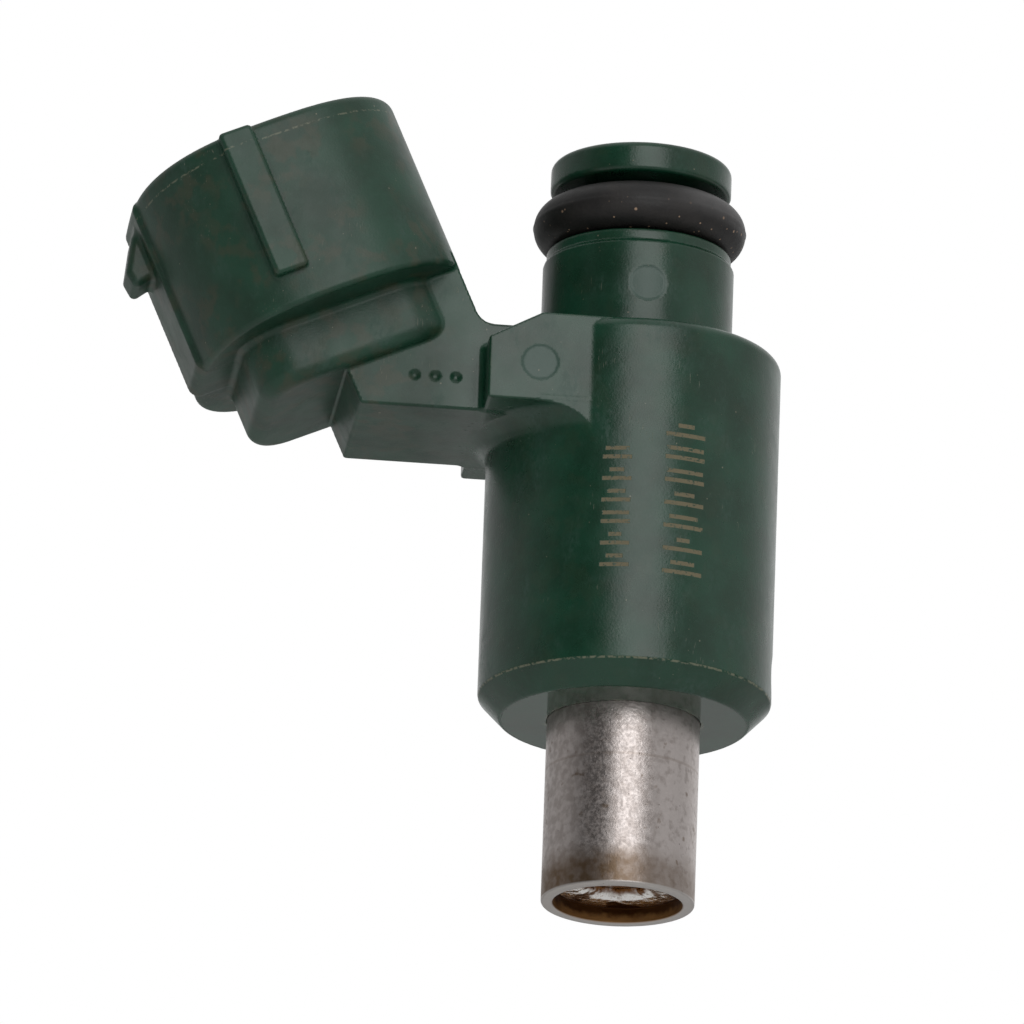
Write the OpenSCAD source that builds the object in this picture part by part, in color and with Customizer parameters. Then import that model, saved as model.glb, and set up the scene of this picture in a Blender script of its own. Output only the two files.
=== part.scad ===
// Top-feed fuel injector: an overmoulded solenoid valve with a leaning two-pin connector.
// +Z runs up the injector's axis towards the fuel inlet. The origin is the centre of the
// nozzle's tip. The connector arm points along -X, and the XZ plane splits the part in half.

/* [Body] */
// Outside diameter of the moulded body
body_d = 15.0; // [14.6:0.1:15.4]
// Height of the body's seat shoulder above the nozzle tip
shoulder_z = 9.65; // [9.3:0.05:9.8]
// Diameter of the flat seat face under the body
seat_face_d = 12.7; // [12:0.1:13.2]
// Height of the chamfer round the seat face
seat_chamfer_h = 1.2; // [0.8:0.1:1.5]
// Height of the body's top face
body_top_z = 29.15; // [29:0.05:29.4]
// Radius of the body's top edge
body_edge_r = 0.65; // [0.5:0.05:1.2]

/* [Inlet neck] */
// Neck diameter between the body and the O-ring
neck_d = 9.84; // [9.6:0.02:10]
// Height of the top of the neck, where the O-ring groove starts
neck_top_z = 34.8; // [34.6:0.1:34.9]
// Diameter of the narrow band at the top of the neck
neck_band_d = 9.5; // [9.2:0.1:9.6]
// Height of that band
neck_band_h = 0.65; // [0.4:0.05:1]
// Diameter of the groove floor under the O-ring
groove_d = 5.76; // [5.6:0.02:5.78]
// Diameter of the collar above the O-ring
collar_d = 9.32; // [9:0.02:9.5]
// Height of the underside of the collar
collar_z = 38.0; // [37.7:0.1:38.2]
// Height of the top of the collar
collar_top_z = 39.6; // [39.5:0.1:40]
// Radius of the collar's top edge
collar_edge_r = 0.3; // [0.1:0.05:0.5]

/* [O-ring] */
// Outside diameter of the O-ring
o_ring_d = 11.0; // [10.8:0.1:11.2]
// Thickness of the O-ring's round section
o_ring_section = 2.6; // [2.3:0.05:2.6]
// Height of the middle of the O-ring
o_ring_z = 36.2; // [36.15:0.05:36.5]

/* [Connector] */
// Lean of the connector away from the injector's axis, in degrees
lean = 24.2; // [23:0.1:25]
// Distance of the middle of the socket's mouth from the axis
socket_reach = 19.82; // [19.6:0.02:20]
// Height of the middle of the socket's mouth
socket_z = 38.18; // [38:0.02:38.4]
// Size of the shroud across its lock side
shroud_w = 14.5; // [14.2:0.1:14.8]
// Size of the shroud along its lock side
shroud_d = 16.7; // [16.4:0.1:17]
// Squareness of the shroud's oval: 2 is an ellipse, more is squarer
shroud_power = 2.6; // [2.3:0.1:3]
// Length of the shroud
shroud_l = 9.77; // [9.5:0.01:10]
// Wall thickness of the shroud
shroud_wall = 1.15; // [0.9:0.05:1.2]
// Depth of the socket
socket_depth = 8.9; // [8.6:0.1:9]
// Width of the key ribs
key_w = 1.8; // [1.5:0.05:2]
// Length of the key ribs down from the mouth
key_l = 8.1; // [7:0.05:8.5]
// Distance of the key ribs from the shroud's middle
key_offset = 2.2; // [1.9:0.05:2.4]
// How far the key ribs stand out past the oval's widest point
key_proud = 0.4; // [0.3:0.05:0.5]
// Width of the lock rail
rail_w = 4.6; // [3.4:0.1:5]
// How far the lock rail stands out
rail_proud = 0.15; // [0.1:0.05:0.3]
// How far the lock wedge stands out
wedge_proud = 1.45; // [1.1:0.05:1.8]
// Width of the lock wedge
wedge_w = 2.6; // [2.2:0.1:3.2]
// Height of the lock wedge
wedge_h = 3.55; // [3:0.05:4]
// Distance of the wedge's thin end from the mouth
wedge_drop = 0.55; // [0.4:0.05:1.2]
// Height of the base block under the shroud
block_h = 3.08; // [2.8:0.02:3.2]
// Width of the base block
block_w = 10.5; // [10:0.05:10.8]
// Depth of the base block
block_d = 11.0; // [10.6:0.1:11.4]
// Radius of the base block's upright corners
block_corner_r = 2.3; // [1.5:0.1:2.8]
// How far the block sits off the middle, towards the body
block_offset = 0.05; // [0:0.05:0.3]

/* [Arm] */
// Thickness of the arm plate
plate_t = 9.2; // [8.6:0.1:9.6]
// Height of the arm's underside
arm_z = 24.4; // [24.2:0.05:24.6]
// Distance from the shroud's middle to the plate's outer end
plate_end = 0.75; // [0.6:0.05:0.9]
// Distance from the shroud's middle to the plate's inner side
plate_inner = 6.7; // [6.4:0.05:6.9]
// Radius of the hollow corner between plate and boss
plate_fillet_r = 1.0; // [0.6:0.1:1.4]
// Width across the boss where the arm meets the body
boss_t = 13.8; // [13.2:0.1:14.2]
// Distance of the boss's outer end from the axis
boss_reach = 8.2; // [8:0.05:8.5]
// Height of the boss at its outer end
boss_low_z = 27.7; // [27.4:0.05:28]
// Distance from the axis at which the boss's top levels off
boss_slope_x = 5.5; // [5:0.1:6]
// Radius of the sweep from the arm's underside into the body
arm_fillet_r = 1.35; // [1:0.05:1.6]
// Diameter of the ejector pin marks
pin_mark_d = 2.05; // [1.8:0.05:2.4]
// Depth of the ejector pin marks
pin_mark_depth = 0.06; // [0.04:0.01:0.15]
// Distance of the boss's pin mark from the axis
boss_mark_x = 5.57; // [5.4:0.01:5.8]
// Height of the boss's pin mark
boss_mark_z = 26.44; // [26:0.02:26.5]
// Height of the neck's pin mark
neck_mark_z = 31.8; // [31:0.1:32.6]

/* [Nozzle] */
// Outside diameter of the nozzle tube
nozzle_d = 7.82; // [7.76:0.02:7.88]
// Diameter of the recess in the tip
tip_recess_d = 6.6; // [6.5:0.02:6.8]
// Depth of the recess in the tip
tip_recess_h = 0.8; // [0.6:0.05:1]
// Bore that holds the seat
seat_bore_d = 6.4; // [6.3:0.02:6.46]
// Bore of the fuel chamber above the seat
chamber_d = 5.4; // [5.2:0.1:5.6]
// Diameter of the spray holes
spray_hole_d = 0.2; // [0.15:0.01:0.24]
// Number of spray holes
spray_holes = 6; // [4:1:8]
// Diameter of the circle that the spray holes lie on
spray_circle_d = 0.96; // [0.9:0.02:1.1]

/* [Valve] */
// Diameter of the valve ball
ball_d = 3.5; // [3.4:0.05:3.6]
// Height of the ball's centre when it touches the seat
ball_seated_z = 5.0; // [4.95:0.01:5.05]
// Gap left under the ball at rest
rest_gap = 0.02; // [0.01:0.005:0.03]
// Play all round between moving pieces and their guides
running_play = 0.04; // [0.02:0.005:0.05]
// Gap between the armature and the core at rest
lift_gap = 0.11; // [0.1:0.005:0.14]
// Outside diameter of the needle tube
needle_d = 2.0; // [1.9:0.05:2.1]
// Bore of the needle tube
needle_bore_d = 1.2; // [1:0.05:1.3]
// Diameter of the holes that let fuel out of the needle tube
needle_hole_d = 0.6; // [0.5:0.05:0.7]
// Diameter of the bore that the armature slides in
armature_bore_d = 5.96; // [5.9:0.02:6]
// Wire thickness of the return spring
spring_wire = 0.34; // [0.28:0.02:0.36]
// Mean diameter of the return spring
spring_mean_d = 2.4; // [2.3:0.05:2.5]
// Turns of the return spring that flex
spring_turns = 7; // [5:1:9]

/* [Solenoid] */
// Outside diameter of the steel yoke
yoke_d = 13.5; // [13.3:0.1:13.6]
// Wall thickness of the yoke
yoke_wall = 0.5; // [0.4:0.05:0.6]
// Outside diameter of the magnetic core
core_d = 6.9; // [6.8:0.02:6.94]
// Bore of the core below the filter
core_bore_d = 3.1; // [3.05:0.01:3.16]
// Outside diameter of the inlet tube above the solenoid
inlet_tube_d = 4.7; // [4.6:0.02:4.8]
// Bore of the inlet tube round the filter
inlet_bore_d = 3.8; // [3.7:0.02:3.84]
// Outside diameter of the copper winding
winding_d = 11.8; // [11.4:0.1:12]
// Outside diameter of the bobbin's barrel
barrel_d = 8.4; // [8.2:0.1:8.6]

/* [Terminals] */
// Distance between the two terminal blades
terminal_pitch = 5.0; // [4.8:0.1:5.2]
// Width of a terminal blade
blade_w = 2.2; // [1.8:0.1:2.3]
// Thickness of a terminal blade
blade_t = 0.64; // [0.5:0.02:0.7]
// Depth of the blade tips below the socket's mouth
tip_drop = 4.4; // [4.2:0.1:5]
// Height of the blades where they cross the arm
strip_z = 26.8; // [26.6:0.05:27]

/* [Hidden] */
$fn = 96;
over = 1;                                  // run-out of a cut past a face
nozzle_r = nozzle_d / 2;
anchor_z = shoulder_z + 0.1;               // groove that keys the tube into the resin
anchor_r = nozzle_r - 0.21;
root_z = shoulder_z + 0.7;                 // top of that groove
root_r = nozzle_r + 0.24;                  // thicker root of the tube inside the resin
yoke_z = 12.2;
yoke_top_z = 25.4;
flange_t = 1.0;                            // yoke floor and yoke washer
yoke_r = yoke_d / 2;
yoke_bore_r = yoke_r - yoke_wall;
core_r = core_d / 2;
armature_bore_r = armature_bore_d / 2;
armature_bore_z = 12.6;                    // chamber widens for the armature
armature_z = 13.2;
tube_top_z = 15.5;                         // nozzle tube meets the sleeve
core_z = 18.5;                             // pole face of the core
sleeve_top_z = 20.5;
core_top_z = 27.5;                         // core narrows to the inlet tube
inlet_tube_r = inlet_tube_d / 2;
inlet_tube_top_z = 39.3;
inlet_bore_z = 31.0;
spring_seat_z = 17.0;
spring_pocket_r = 1.5;
adjuster_z = 24.6;
adjuster_h = 5.4;
adjuster_wall = 0.6;
adjuster_slot_w = 0.36;
guide_z = 4.6;                             // guide disc sits on the seat
guide_t = 0.8;
flow_holes = 5;
flow_hole_r = 0.34;
flow_circle_r = 2.35;
washer_h = 0.55;                           // dished washer under the orifice plate
washer_bore_r = 1.5;
washer_rim_r = 2.2;
washer_foot = 0.1;
plate_z = tip_recess_h + washer_h;         // orifice plate
seat_z = plate_z + 0.15;
outlet_r = 0.75;                           // outlet of the valve seat
needle_holes = [[0, 8.4], [90, 10.2]];     // turn and height of each cross hole
ball_r = ball_d / 2;
ball_z = ball_seated_z + rest_gap;
needle_r = needle_d / 2;
play_z = 0.05;
bobbin_z = yoke_z + flange_t + play_z;
bobbin_top_z = yoke_top_z - flange_t - play_z;
bobbin_flange_t = 0.75;
bend_u = (strip_z - socket_z) / cos(lean); // where a terminal bends, along the shroud
strip_end_x = -4.6;
tip_taper = 0.5;
lead_x = -5.2;
lead_r = 0.25;
window_w = 7;                              // gap in the yoke washer for the leads
window_x = 4.3;
shroud_points = 72;
lap = 0.5;                                 // how far two moulded shapes run into each other
wedge_knee = 0.7;                          // share of its height where the wedge is full
wedge_foot = 0.9;                          // share of its height where its underside meets the wall
plate_end_u = (arm_z - socket_z + plate_end * sin(lean)) / cos(lean);
plate_corner_u = (body_top_z - socket_z - plate_inner * sin(lean)) / cos(lean);
block_floor_u = -shroud_l - block_h;
filter_r = 1.6;                            // outside of the filter frame
filter_wall = 0.25;
filter_z = 31.2;
filter_top_z = 38.4;
filter_cap_h = 0.5;
filter_collar_h = 1.2;
filter_rib_w = 0.5;
filter_ring_z = 36.6;
filter_ring_h = 2.0;
gauze_t = 0.08;
spring_end_gap = 0.02;
spring_low = spring_seat_z + spring_end_gap + spring_wire / 2;
spring_high = adjuster_z - spring_end_gap - spring_wire / 2;
dead_turns = 1;                            // closed turns at each end
dead_pitch = 1.04;                         // pitch of a closed turn, in wire diameters
ring_steps = 18;
wire_sides = 8;
all_turns = spring_turns + 2 * dead_turns;
dead_rise = dead_turns * spring_wire * dead_pitch;

// ---- shared shapes ----

// A disc or a tube standing between two heights
module ring(r, z0, z1, bore = 0) {
    translate([0, 0, z0])
        difference() {
            cylinder(h = z1 - z0, r = r);
            if (bore > 0)
                translate([0, 0, -over]) cylinder(h = z1 - z0 + 2 * over, r = bore);
        }
}

// A disc between two heights whose top outer edge is rounded
module rounded_disc(r, z0, z1, edge) {
    rotate_extrude() {
        translate([0, z0]) square([r, z1 - z0 - edge]);
        translate([0, z0]) square([r - edge, z1 - z0]);
        translate([r - edge, z1 - edge]) circle(edge, $fn = 48);
    }
}

// A point in the XZ plane, v across the shroud and u along it up from the mouth
function in_plane(v, u) = [
    v * cos(lean) - u * sin(lean) - socket_reach,
    v * sin(lean) + u * cos(lean) + socket_z
];

// Moves children from the shroud's own frame, whose origin is the middle of its mouth
module at_shroud() {
    translate([-socket_reach, 0, socket_z]) rotate([0, -lean, 0]) children();
}

// Turns an outline drawn in the XZ plane into a plate, half on each side of that plane
module plate(t) {
    rotate([90, 0, 0]) translate([0, 0, -t / 2]) linear_extrude(t) children();
}

// Points of the shroud's squarish oval
function oval(w, d) = [
    for (i = [0 : shroud_points - 1])
        let (c = cos(360 * i / shroud_points), s = sin(360 * i / shroud_points))
            [w / 2 * sign(c) * pow(abs(c), 2 / shroud_power),
             d / 2 * sign(s) * pow(abs(s), 2 / shroud_power)]
];

// A rectangle with round corners, drawn round its own middle
module rounded_rectangle(w, d, r) {
    square([w - 2 * r, d], center = true);
    square([w, d - 2 * r], center = true);
    for (x = [-1, 1], y = [-1, 1])
        translate([x * (w / 2 - r), y * (d / 2 - r)]) circle(r, $fn = 48);
}

// ---- moulded housing ----

// Collar, neck and body: all that is round about the injector's axis
module turned_outside() {
    rounded_disc(collar_d / 2, collar_z, collar_top_z, collar_edge_r);
    ring(groove_d / 2, neck_top_z - over, collar_z + over / 2);
    ring(neck_band_d / 2, neck_top_z - neck_band_h - over, neck_top_z);
    ring(neck_d / 2, body_top_z - over, neck_top_z - neck_band_h);
    rounded_disc(body_d / 2, shoulder_z + seat_chamfer_h, body_top_z, body_edge_r);
    translate([0, 0, shoulder_z])
        cylinder(h = seat_chamfer_h, r1 = seat_face_d / 2, r2 = body_d / 2);
}

// Room for the metal parts that the resin is moulded round
module metal_room() {
    ring(nozzle_r, shoulder_z - over, anchor_z);
    ring(anchor_r, shoulder_z, root_z + over / 2);
    ring(root_r, root_z, yoke_z);
    ring(yoke_r, yoke_z, yoke_top_z - flange_t);
    difference() {
        ring(yoke_r, yoke_top_z - flange_t, yoke_top_z);
        lead_window();
    }
    ring(core_r, yoke_top_z - over / 2, core_top_z);
    ring(inlet_tube_r, core_top_z - over / 2, collar_top_z + over);
}

// The gap in the yoke washer where the coil's leads come up, which resin fills
module lead_window() {
    intersection() {
        ring(yoke_bore_r, yoke_top_z - flange_t, yoke_top_z);
        translate([-yoke_r, -window_w / 2, yoke_top_z - flange_t])
            cube([yoke_r - window_x, window_w, flange_t]);
    }
}

// Plate that carries the connector, with its hollow corner towards the boss
module arm_plate() {
    corner = in_plane(plate_inner, plate_corner_u);
    opening = 90 + lean;
    setback = plate_fillet_r / tan(opening / 2);
    centre = corner + [setback, plate_fillet_r];
    plate(plate_t) {
        polygon([
            in_plane(-plate_end, -shroud_l + lap),
            in_plane(-plate_end, plate_end_u),
            [0, arm_z],
            [0, body_top_z],
            corner,
            in_plane(plate_inner, -shroud_l + lap)
        ]);
        difference() {
            polygon([corner, corner + [setback, 0], centre,
                in_plane(plate_inner, plate_corner_u + setback)]);
            translate(centre) circle(plate_fillet_r, $fn = 64);
        }
    }
}

// Wider boss where the arm meets the body
module arm_boss() {
    plate(boss_t)
        polygon([[-boss_reach, arm_z], [0, arm_z], [0, body_top_z],
            [-boss_slope_x, body_top_z], [-boss_reach, boss_low_z]]);
}

// Sweep from the arm's underside down into the round body
module arm_fillet() {
    outer = body_d / 2 + arm_fillet_r;
    intersection() {
        difference() {
            ring(outer, arm_z - arm_fillet_r, arm_z);
            rotate_extrude()
                translate([outer, arm_z - arm_fillet_r]) circle(arm_fillet_r);
        }
        translate([-outer, -boss_t / 2, arm_z - 2 * arm_fillet_r])
            cube([outer, boss_t, 2 * arm_fillet_r]);
    }
}

// Oval shroud, its keys, its lock rail and wedge, and the block under it
module shroud_outside() {
    translate([0, 0, -shroud_l]) linear_extrude(shroud_l) polygon(oval(shroud_w, shroud_d));
    for (side = [-1, 1])
        translate([-key_offset - key_w / 2, min(0, side * (shroud_d / 2 + key_proud)), -key_l])
            cube([key_w, shroud_d / 2 + key_proud, key_l]);
    translate([-shroud_w / 2 - rail_proud, -rail_w / 2, -shroud_l])
        cube([shroud_w / 2, rail_w, shroud_l]);
    plate(wedge_w)
        polygon([
            [-shroud_w / 2, -wedge_drop],
            [-shroud_w / 2 - wedge_proud, -wedge_drop - wedge_h * wedge_knee],
            [-shroud_w / 2 - wedge_proud, -wedge_drop - wedge_h],
            [-shroud_w / 2, -wedge_drop - wedge_h * wedge_foot]
        ]);
    translate([block_offset, 0, block_floor_u])
        linear_extrude(block_h + lap) rounded_rectangle(block_w, block_d, block_corner_r);
}

// Socket that the plug goes into
module socket_room() {
    translate([0, 0, -socket_depth])
        linear_extrude(socket_depth + over)
            polygon(oval(shroud_w - 2 * shroud_wall, shroud_d - 2 * shroud_wall));
}

// Flat discs left by the mould's ejector pins on the boss and the neck
module pin_marks() {
    translate([-boss_mark_x, pin_mark_depth - boss_t / 2, boss_mark_z])
        rotate([90, 0, 0]) cylinder(h = over, d = pin_mark_d);
    translate([0, pin_mark_depth - neck_d / 2, neck_mark_z])
        rotate([90, 0, 0]) cylinder(h = over, d = pin_mark_d);
}

module resin_housing() {
    color("#274634")
        difference() {
            union() {
                turned_outside();
                arm_plate();
                arm_boss();
                arm_fillet();
                at_shroud() shroud_outside();
            }
            metal_room();
            at_shroud() socket_room();
            for (side = [-1, 1]) {
                terminal(side);
                lead(side);
            }
            pin_marks();
        }
}

// ---- inlet: seal, filter and spring adjuster ----

module inlet_o_ring() {
    color("#1c1a1c")
        rotate_extrude()
            translate([(o_ring_d - o_ring_section) / 2, o_ring_z])
                circle(d = o_ring_section);
}

module filter_ring() {
    color("#b08a4a")
        ring(inlet_bore_d / 2, filter_ring_z, filter_ring_z + filter_ring_h, filter_r);
}

module filter_frame() {
    color("#d8d4c4") {
        difference() {
            union() {
                ring(filter_r, filter_z, filter_z + filter_cap_h);
                ring(filter_r, filter_top_z - filter_collar_h, filter_top_z);
                intersection() {
                    ring(filter_r, filter_z, filter_top_z);
                    for (turn = [0, 90])
                        rotate([0, 0, turn])
                            translate([-filter_r, -filter_rib_w / 2, filter_z])
                                cube([2 * filter_r, filter_rib_w, filter_top_z - filter_z]);
                }
            }
            translate([0, 0, filter_z + filter_cap_h])
                cylinder(h = filter_top_z, r = filter_r - filter_wall);
        }
    }
}

module filter_mesh() {
    mesh_r = filter_r - filter_wall;
    color("#9a9c9a")
        ring(mesh_r, filter_z + filter_cap_h, filter_top_z - filter_collar_h, mesh_r - gauze_t);
}

module adjuster_sleeve() {
    outer_r = core_bore_d / 2;
    color("#8f8a80")
        difference() {
            ring(outer_r, adjuster_z, adjuster_z + adjuster_h, outer_r - adjuster_wall);
            translate([0, -adjuster_slot_w / 2, adjuster_z - over])
                cube([core_bore_d, adjuster_slot_w, adjuster_h + 2 * over]);
        }
}

// ---- return spring ----

// Height of the wire's centre after a number of turns
function wire_z(turn) =
    turn < dead_turns ? spring_low + dead_rise * turn / dead_turns :
    turn > all_turns - dead_turns ? spring_high - dead_rise * (all_turns - turn) / dead_turns :
    spring_low + dead_rise + (spring_high - spring_low - 2 * dead_rise)
        * (turn - dead_turns) / spring_turns;

// One point on the wire's skin
function wire_point(turn, side) =
    let (a = 360 * turn, b = 360 * side / wire_sides,
         r = spring_mean_d / 2 + spring_wire / 2 * cos(b))
        [r * cos(a), r * sin(a), wire_z(turn) + spring_wire / 2 * sin(b)];

module return_spring() {
    last = all_turns * ring_steps;
    points = [for (i = [0 : last], j = [0 : wire_sides - 1]) wire_point(i / ring_steps, j)];
    skin = [
        for (i = [0 : last - 1], j = [0 : wire_sides - 1])
            let (k = (j + 1) % wire_sides, a = i * wire_sides)
                [a + j, a + wire_sides + j, a + wire_sides + k, a + k]
    ];
    caps = [
        [for (j = [0 : wire_sides - 1]) j],
        [for (j = [wire_sides - 1 : -1 : 0]) last * wire_sides + j]
    ];
    color("#a9abad") polyhedron(points, concat(skin, caps));
}

// ---- magnetic circuit ----

module stator_core() {
    color("#9b9ea0")
        difference() {
            union() {
                ring(armature_bore_r, core_z, sleeve_top_z + over / 2);
                ring(core_r, sleeve_top_z, core_top_z);
                ring(inlet_tube_r, core_top_z - over / 2, inlet_tube_top_z);
            }
            translate([0, 0, core_z - over])
                cylinder(h = inlet_tube_top_z, d = core_bore_d);
            translate([0, 0, inlet_bore_z]) cylinder(h = over * 10, d = inlet_bore_d);
        }
}

module nonmagnetic_sleeve() {
    color("#b7b2a6") ring(core_r, tube_top_z, sleeve_top_z, armature_bore_r);
}

module coil_bobbin() {
    flange_r = yoke_bore_r - play_z;
    color("#2b2b2d")
        difference() {
            union() {
                ring(barrel_d / 2, bobbin_z, bobbin_top_z);
                ring(flange_r, bobbin_z, bobbin_z + bobbin_flange_t);
                ring(flange_r, bobbin_top_z - bobbin_flange_t, bobbin_top_z);
            }
            translate([0, 0, bobbin_z - over])
                cylinder(h = bobbin_top_z, r = core_r + play_z);
        }
}

module coil_winding() {
    color("#a4532a")
        ring(winding_d / 2, bobbin_z + bobbin_flange_t, bobbin_top_z - bobbin_flange_t,
            barrel_d / 2);
}

module coil_yoke() {
    color("#85888a") {
        difference() {
            ring(yoke_r, yoke_z, yoke_top_z);
            translate([0, 0, yoke_z + flange_t])
                cylinder(h = yoke_top_z, r = yoke_bore_r);
            translate([0, 0, yoke_z - over]) cylinder(h = yoke_top_z, r = root_r);
        }
    }
}

module yoke_washer() {
    color("#7c8082")
        difference() {
            ring(yoke_bore_r, yoke_top_z - flange_t, yoke_top_z, core_r);
            lead_window();
        }
}

// Lead from the bobbin up to a terminal; side is -1 at the front and 1 at the rear
module lead(side) {
    translate([lead_x, side * terminal_pitch / 2, bobbin_top_z])
        cylinder(h = strip_z - blade_t / 2 - bobbin_top_z, r = lead_r);
}

module lead_front() {
    color("#b4632f") lead(-1);
}

module lead_rear() {
    color("#b4632f") lead(1);
}

// Terminal: a strip along the arm that bends up into the socket as a blade
module terminal(side) {
    bend = in_plane(0, bend_u);
    translate([0, side * terminal_pitch / 2, 0]) {
        translate([bend[0], -blade_w / 2, strip_z - blade_t / 2])
            cube([strip_end_x - bend[0], blade_w, blade_t]);
        translate([bend[0], blade_w / 2, bend[1]])
            rotate([90, 0, 0]) cylinder(h = blade_w, d = blade_t, $fn = 32);
        at_shroud()
            plate(blade_w)
                polygon([
                    [-blade_t / 2, bend_u],
                    [blade_t / 2, bend_u],
                    [blade_t / 2, -tip_drop - tip_taper],
                    [blade_t / 6, -tip_drop],
                    [-blade_t / 6, -tip_drop],
                    [-blade_t / 2, -tip_drop - tip_taper]
                ]);
    }
}

module terminal_front() {
    color("#c9c3b2") terminal(-1);
}

module terminal_rear() {
    color("#c9c3b2") terminal(1);
}

// ---- nozzle and valve ----

module nozzle_tube() {
    color("#8e8880")
        difference() {
            union() {
                ring(nozzle_r, 0, anchor_z);
                ring(anchor_r, anchor_z - over, root_z + over / 2);
                ring(root_r, root_z, yoke_z + flange_t);
                ring(core_r, yoke_z, tube_top_z);
            }
            translate([0, 0, -over]) cylinder(h = tip_recess_h + over, d = tip_recess_d);
            translate([0, 0, -over]) cylinder(h = guide_z + guide_t + over, d = seat_bore_d);
            translate([0, 0, guide_z]) cylinder(h = tube_top_z, d = chamber_d);
            translate([0, 0, armature_bore_z]) cylinder(h = tube_top_z, r = armature_bore_r);
        }
}

module armature() {
    color("#9a9da1")
        difference() {
            ring(armature_bore_r - running_play, armature_z, core_z - lift_gap);
            translate([0, 0, armature_z - over]) cylinder(h = tube_top_z, r = needle_r);
            translate([0, 0, spring_seat_z]) cylinder(h = tube_top_z, r = spring_pocket_r);
        }
}

module needle_tube() {
    color("#a7a59f")
        difference() {
            ring(needle_r, ball_z, spring_seat_z);
            translate([0, 0, ball_z - over]) cylinder(h = core_z, d = needle_bore_d);
            translate([0, 0, ball_z]) sphere(ball_r);
            for (hole = needle_holes)
                translate([0, 0, hole[1]])
                    rotate([90, 0, hole[0]])
                        cylinder(h = needle_d + over, d = needle_hole_d, center = true);
        }
}

module valve_ball() {
    color("#c4c6c8") translate([0, 0, ball_z]) sphere(ball_r);
}

module guide_disc() {
    color("#a9a49a")
        difference() {
            ring(seat_bore_d / 2, guide_z, guide_z + guide_t, ball_r + running_play / 2);
            for (i = [0 : flow_holes - 1])
                rotate([0, 0, 360 * i / flow_holes])
                    translate([flow_circle_r, 0, guide_z - over])
                        cylinder(h = 2 * over + guide_t, r = flow_hole_r);
        }
}

module valve_seat() {
    apex_z = ball_seated_z - ball_r * sqrt(2);
    color("#a09d97")
        rotate_extrude()
            polygon([
                [outlet_r, seat_z],
                [seat_bore_d / 2, seat_z],
                [seat_bore_d / 2, guide_z],
                [guide_z - apex_z, guide_z],
                [outlet_r, apex_z + outlet_r]
            ]);
}

module orifice_plate() {
    color("#bcb6aa")
        difference() {
            ring(seat_bore_d / 2, plate_z, seat_z);
            for (i = [0 : spray_holes - 1])
                rotate([0, 0, 360 * i / spray_holes])
                    translate([spray_circle_d / 2, 0, 0])
                        cylinder(h = seat_z + over, d = spray_hole_d);
        }
}

module backup_washer() {
    color("#b59f86")
        rotate_extrude()
            polygon([
                [washer_bore_r, plate_z],
                [washer_rim_r, tip_recess_h + washer_foot],
                [seat_bore_d / 2, tip_recess_h],
                [seat_bore_d / 2, plate_z]
            ]);
}

resin_housing();
inlet_o_ring();
filter_ring();
filter_frame();
filter_mesh();
adjuster_sleeve();
return_spring();
stator_core();
nonmagnetic_sleeve();
coil_bobbin();
coil_winding();
coil_yoke();
yoke_washer();
lead_front();
lead_rear();
terminal_front();
terminal_rear();
nozzle_tube();
armature();
needle_tube();
valve_ball();
guide_disc();
valve_seat();
orifice_plate();
backup_washer();
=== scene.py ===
# %% [markdown]
# A small top-feed fuel injector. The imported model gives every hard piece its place
# and size, so nothing here is moved or fitted. This script only gives the pieces
# that show a finer mesh, and every piece the finish of its material. The frame is
# in metres. Sizes below are in millimetres, as on a drawing, and MM converts them.

# %% Load the model
import math

import bmesh
import bpy
import numpy as np
from mathutils import Matrix, Vector


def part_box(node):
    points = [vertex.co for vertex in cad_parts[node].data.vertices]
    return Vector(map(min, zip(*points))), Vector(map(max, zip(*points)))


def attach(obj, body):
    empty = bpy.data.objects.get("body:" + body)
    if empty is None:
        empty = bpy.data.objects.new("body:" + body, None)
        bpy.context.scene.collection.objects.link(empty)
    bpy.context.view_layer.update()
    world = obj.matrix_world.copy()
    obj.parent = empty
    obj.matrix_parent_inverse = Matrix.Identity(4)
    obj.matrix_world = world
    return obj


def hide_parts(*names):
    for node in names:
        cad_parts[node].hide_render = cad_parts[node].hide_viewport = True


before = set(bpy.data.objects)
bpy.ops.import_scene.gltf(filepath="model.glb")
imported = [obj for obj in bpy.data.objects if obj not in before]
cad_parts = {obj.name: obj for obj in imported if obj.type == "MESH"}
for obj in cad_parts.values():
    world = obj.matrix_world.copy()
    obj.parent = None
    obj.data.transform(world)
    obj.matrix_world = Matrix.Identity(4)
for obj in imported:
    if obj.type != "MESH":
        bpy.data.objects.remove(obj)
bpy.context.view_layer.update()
scene = bpy.context.scene
scene.view_settings.view_transform = "Standard"
MM = 0.001


def span(node):
    """Lowest and highest corner of a piece, in millimetres."""
    low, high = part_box(node)
    return np.array(low) / MM, np.array(high) / MM


for node in ("resin_housing", "nozzle_tube", "inlet_o_ring"):
    print(node, [corner.round(2).tolist() for corner in span(node)])

# %% [markdown]
# A long lens from far off keeps upright lines nearly parallel, as in a catalogue
# picture. The camera stands low and looks up a little, and it is rolled by two
# degrees, so the injector leans slightly in the frame.

# %% Camera
AZIMUTH, ELEVATION, ROLL = -5.5, -18.3, 2.05
DISTANCE = 0.7
LENS = 480.7
CENTRE = Vector((0.0, 0.0, 20 * MM))
AIM_RIGHT, AIM_UP = -6.03 * MM, 0.97 * MM


def direction(azimuth, elevation):
    """Unit vector away from the object; azimuth 0 is the front, -Y."""
    a, e = math.radians(azimuth), math.radians(elevation)
    return Vector((math.sin(a) * math.cos(e), -math.cos(a) * math.cos(e), math.sin(e)))


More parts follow.
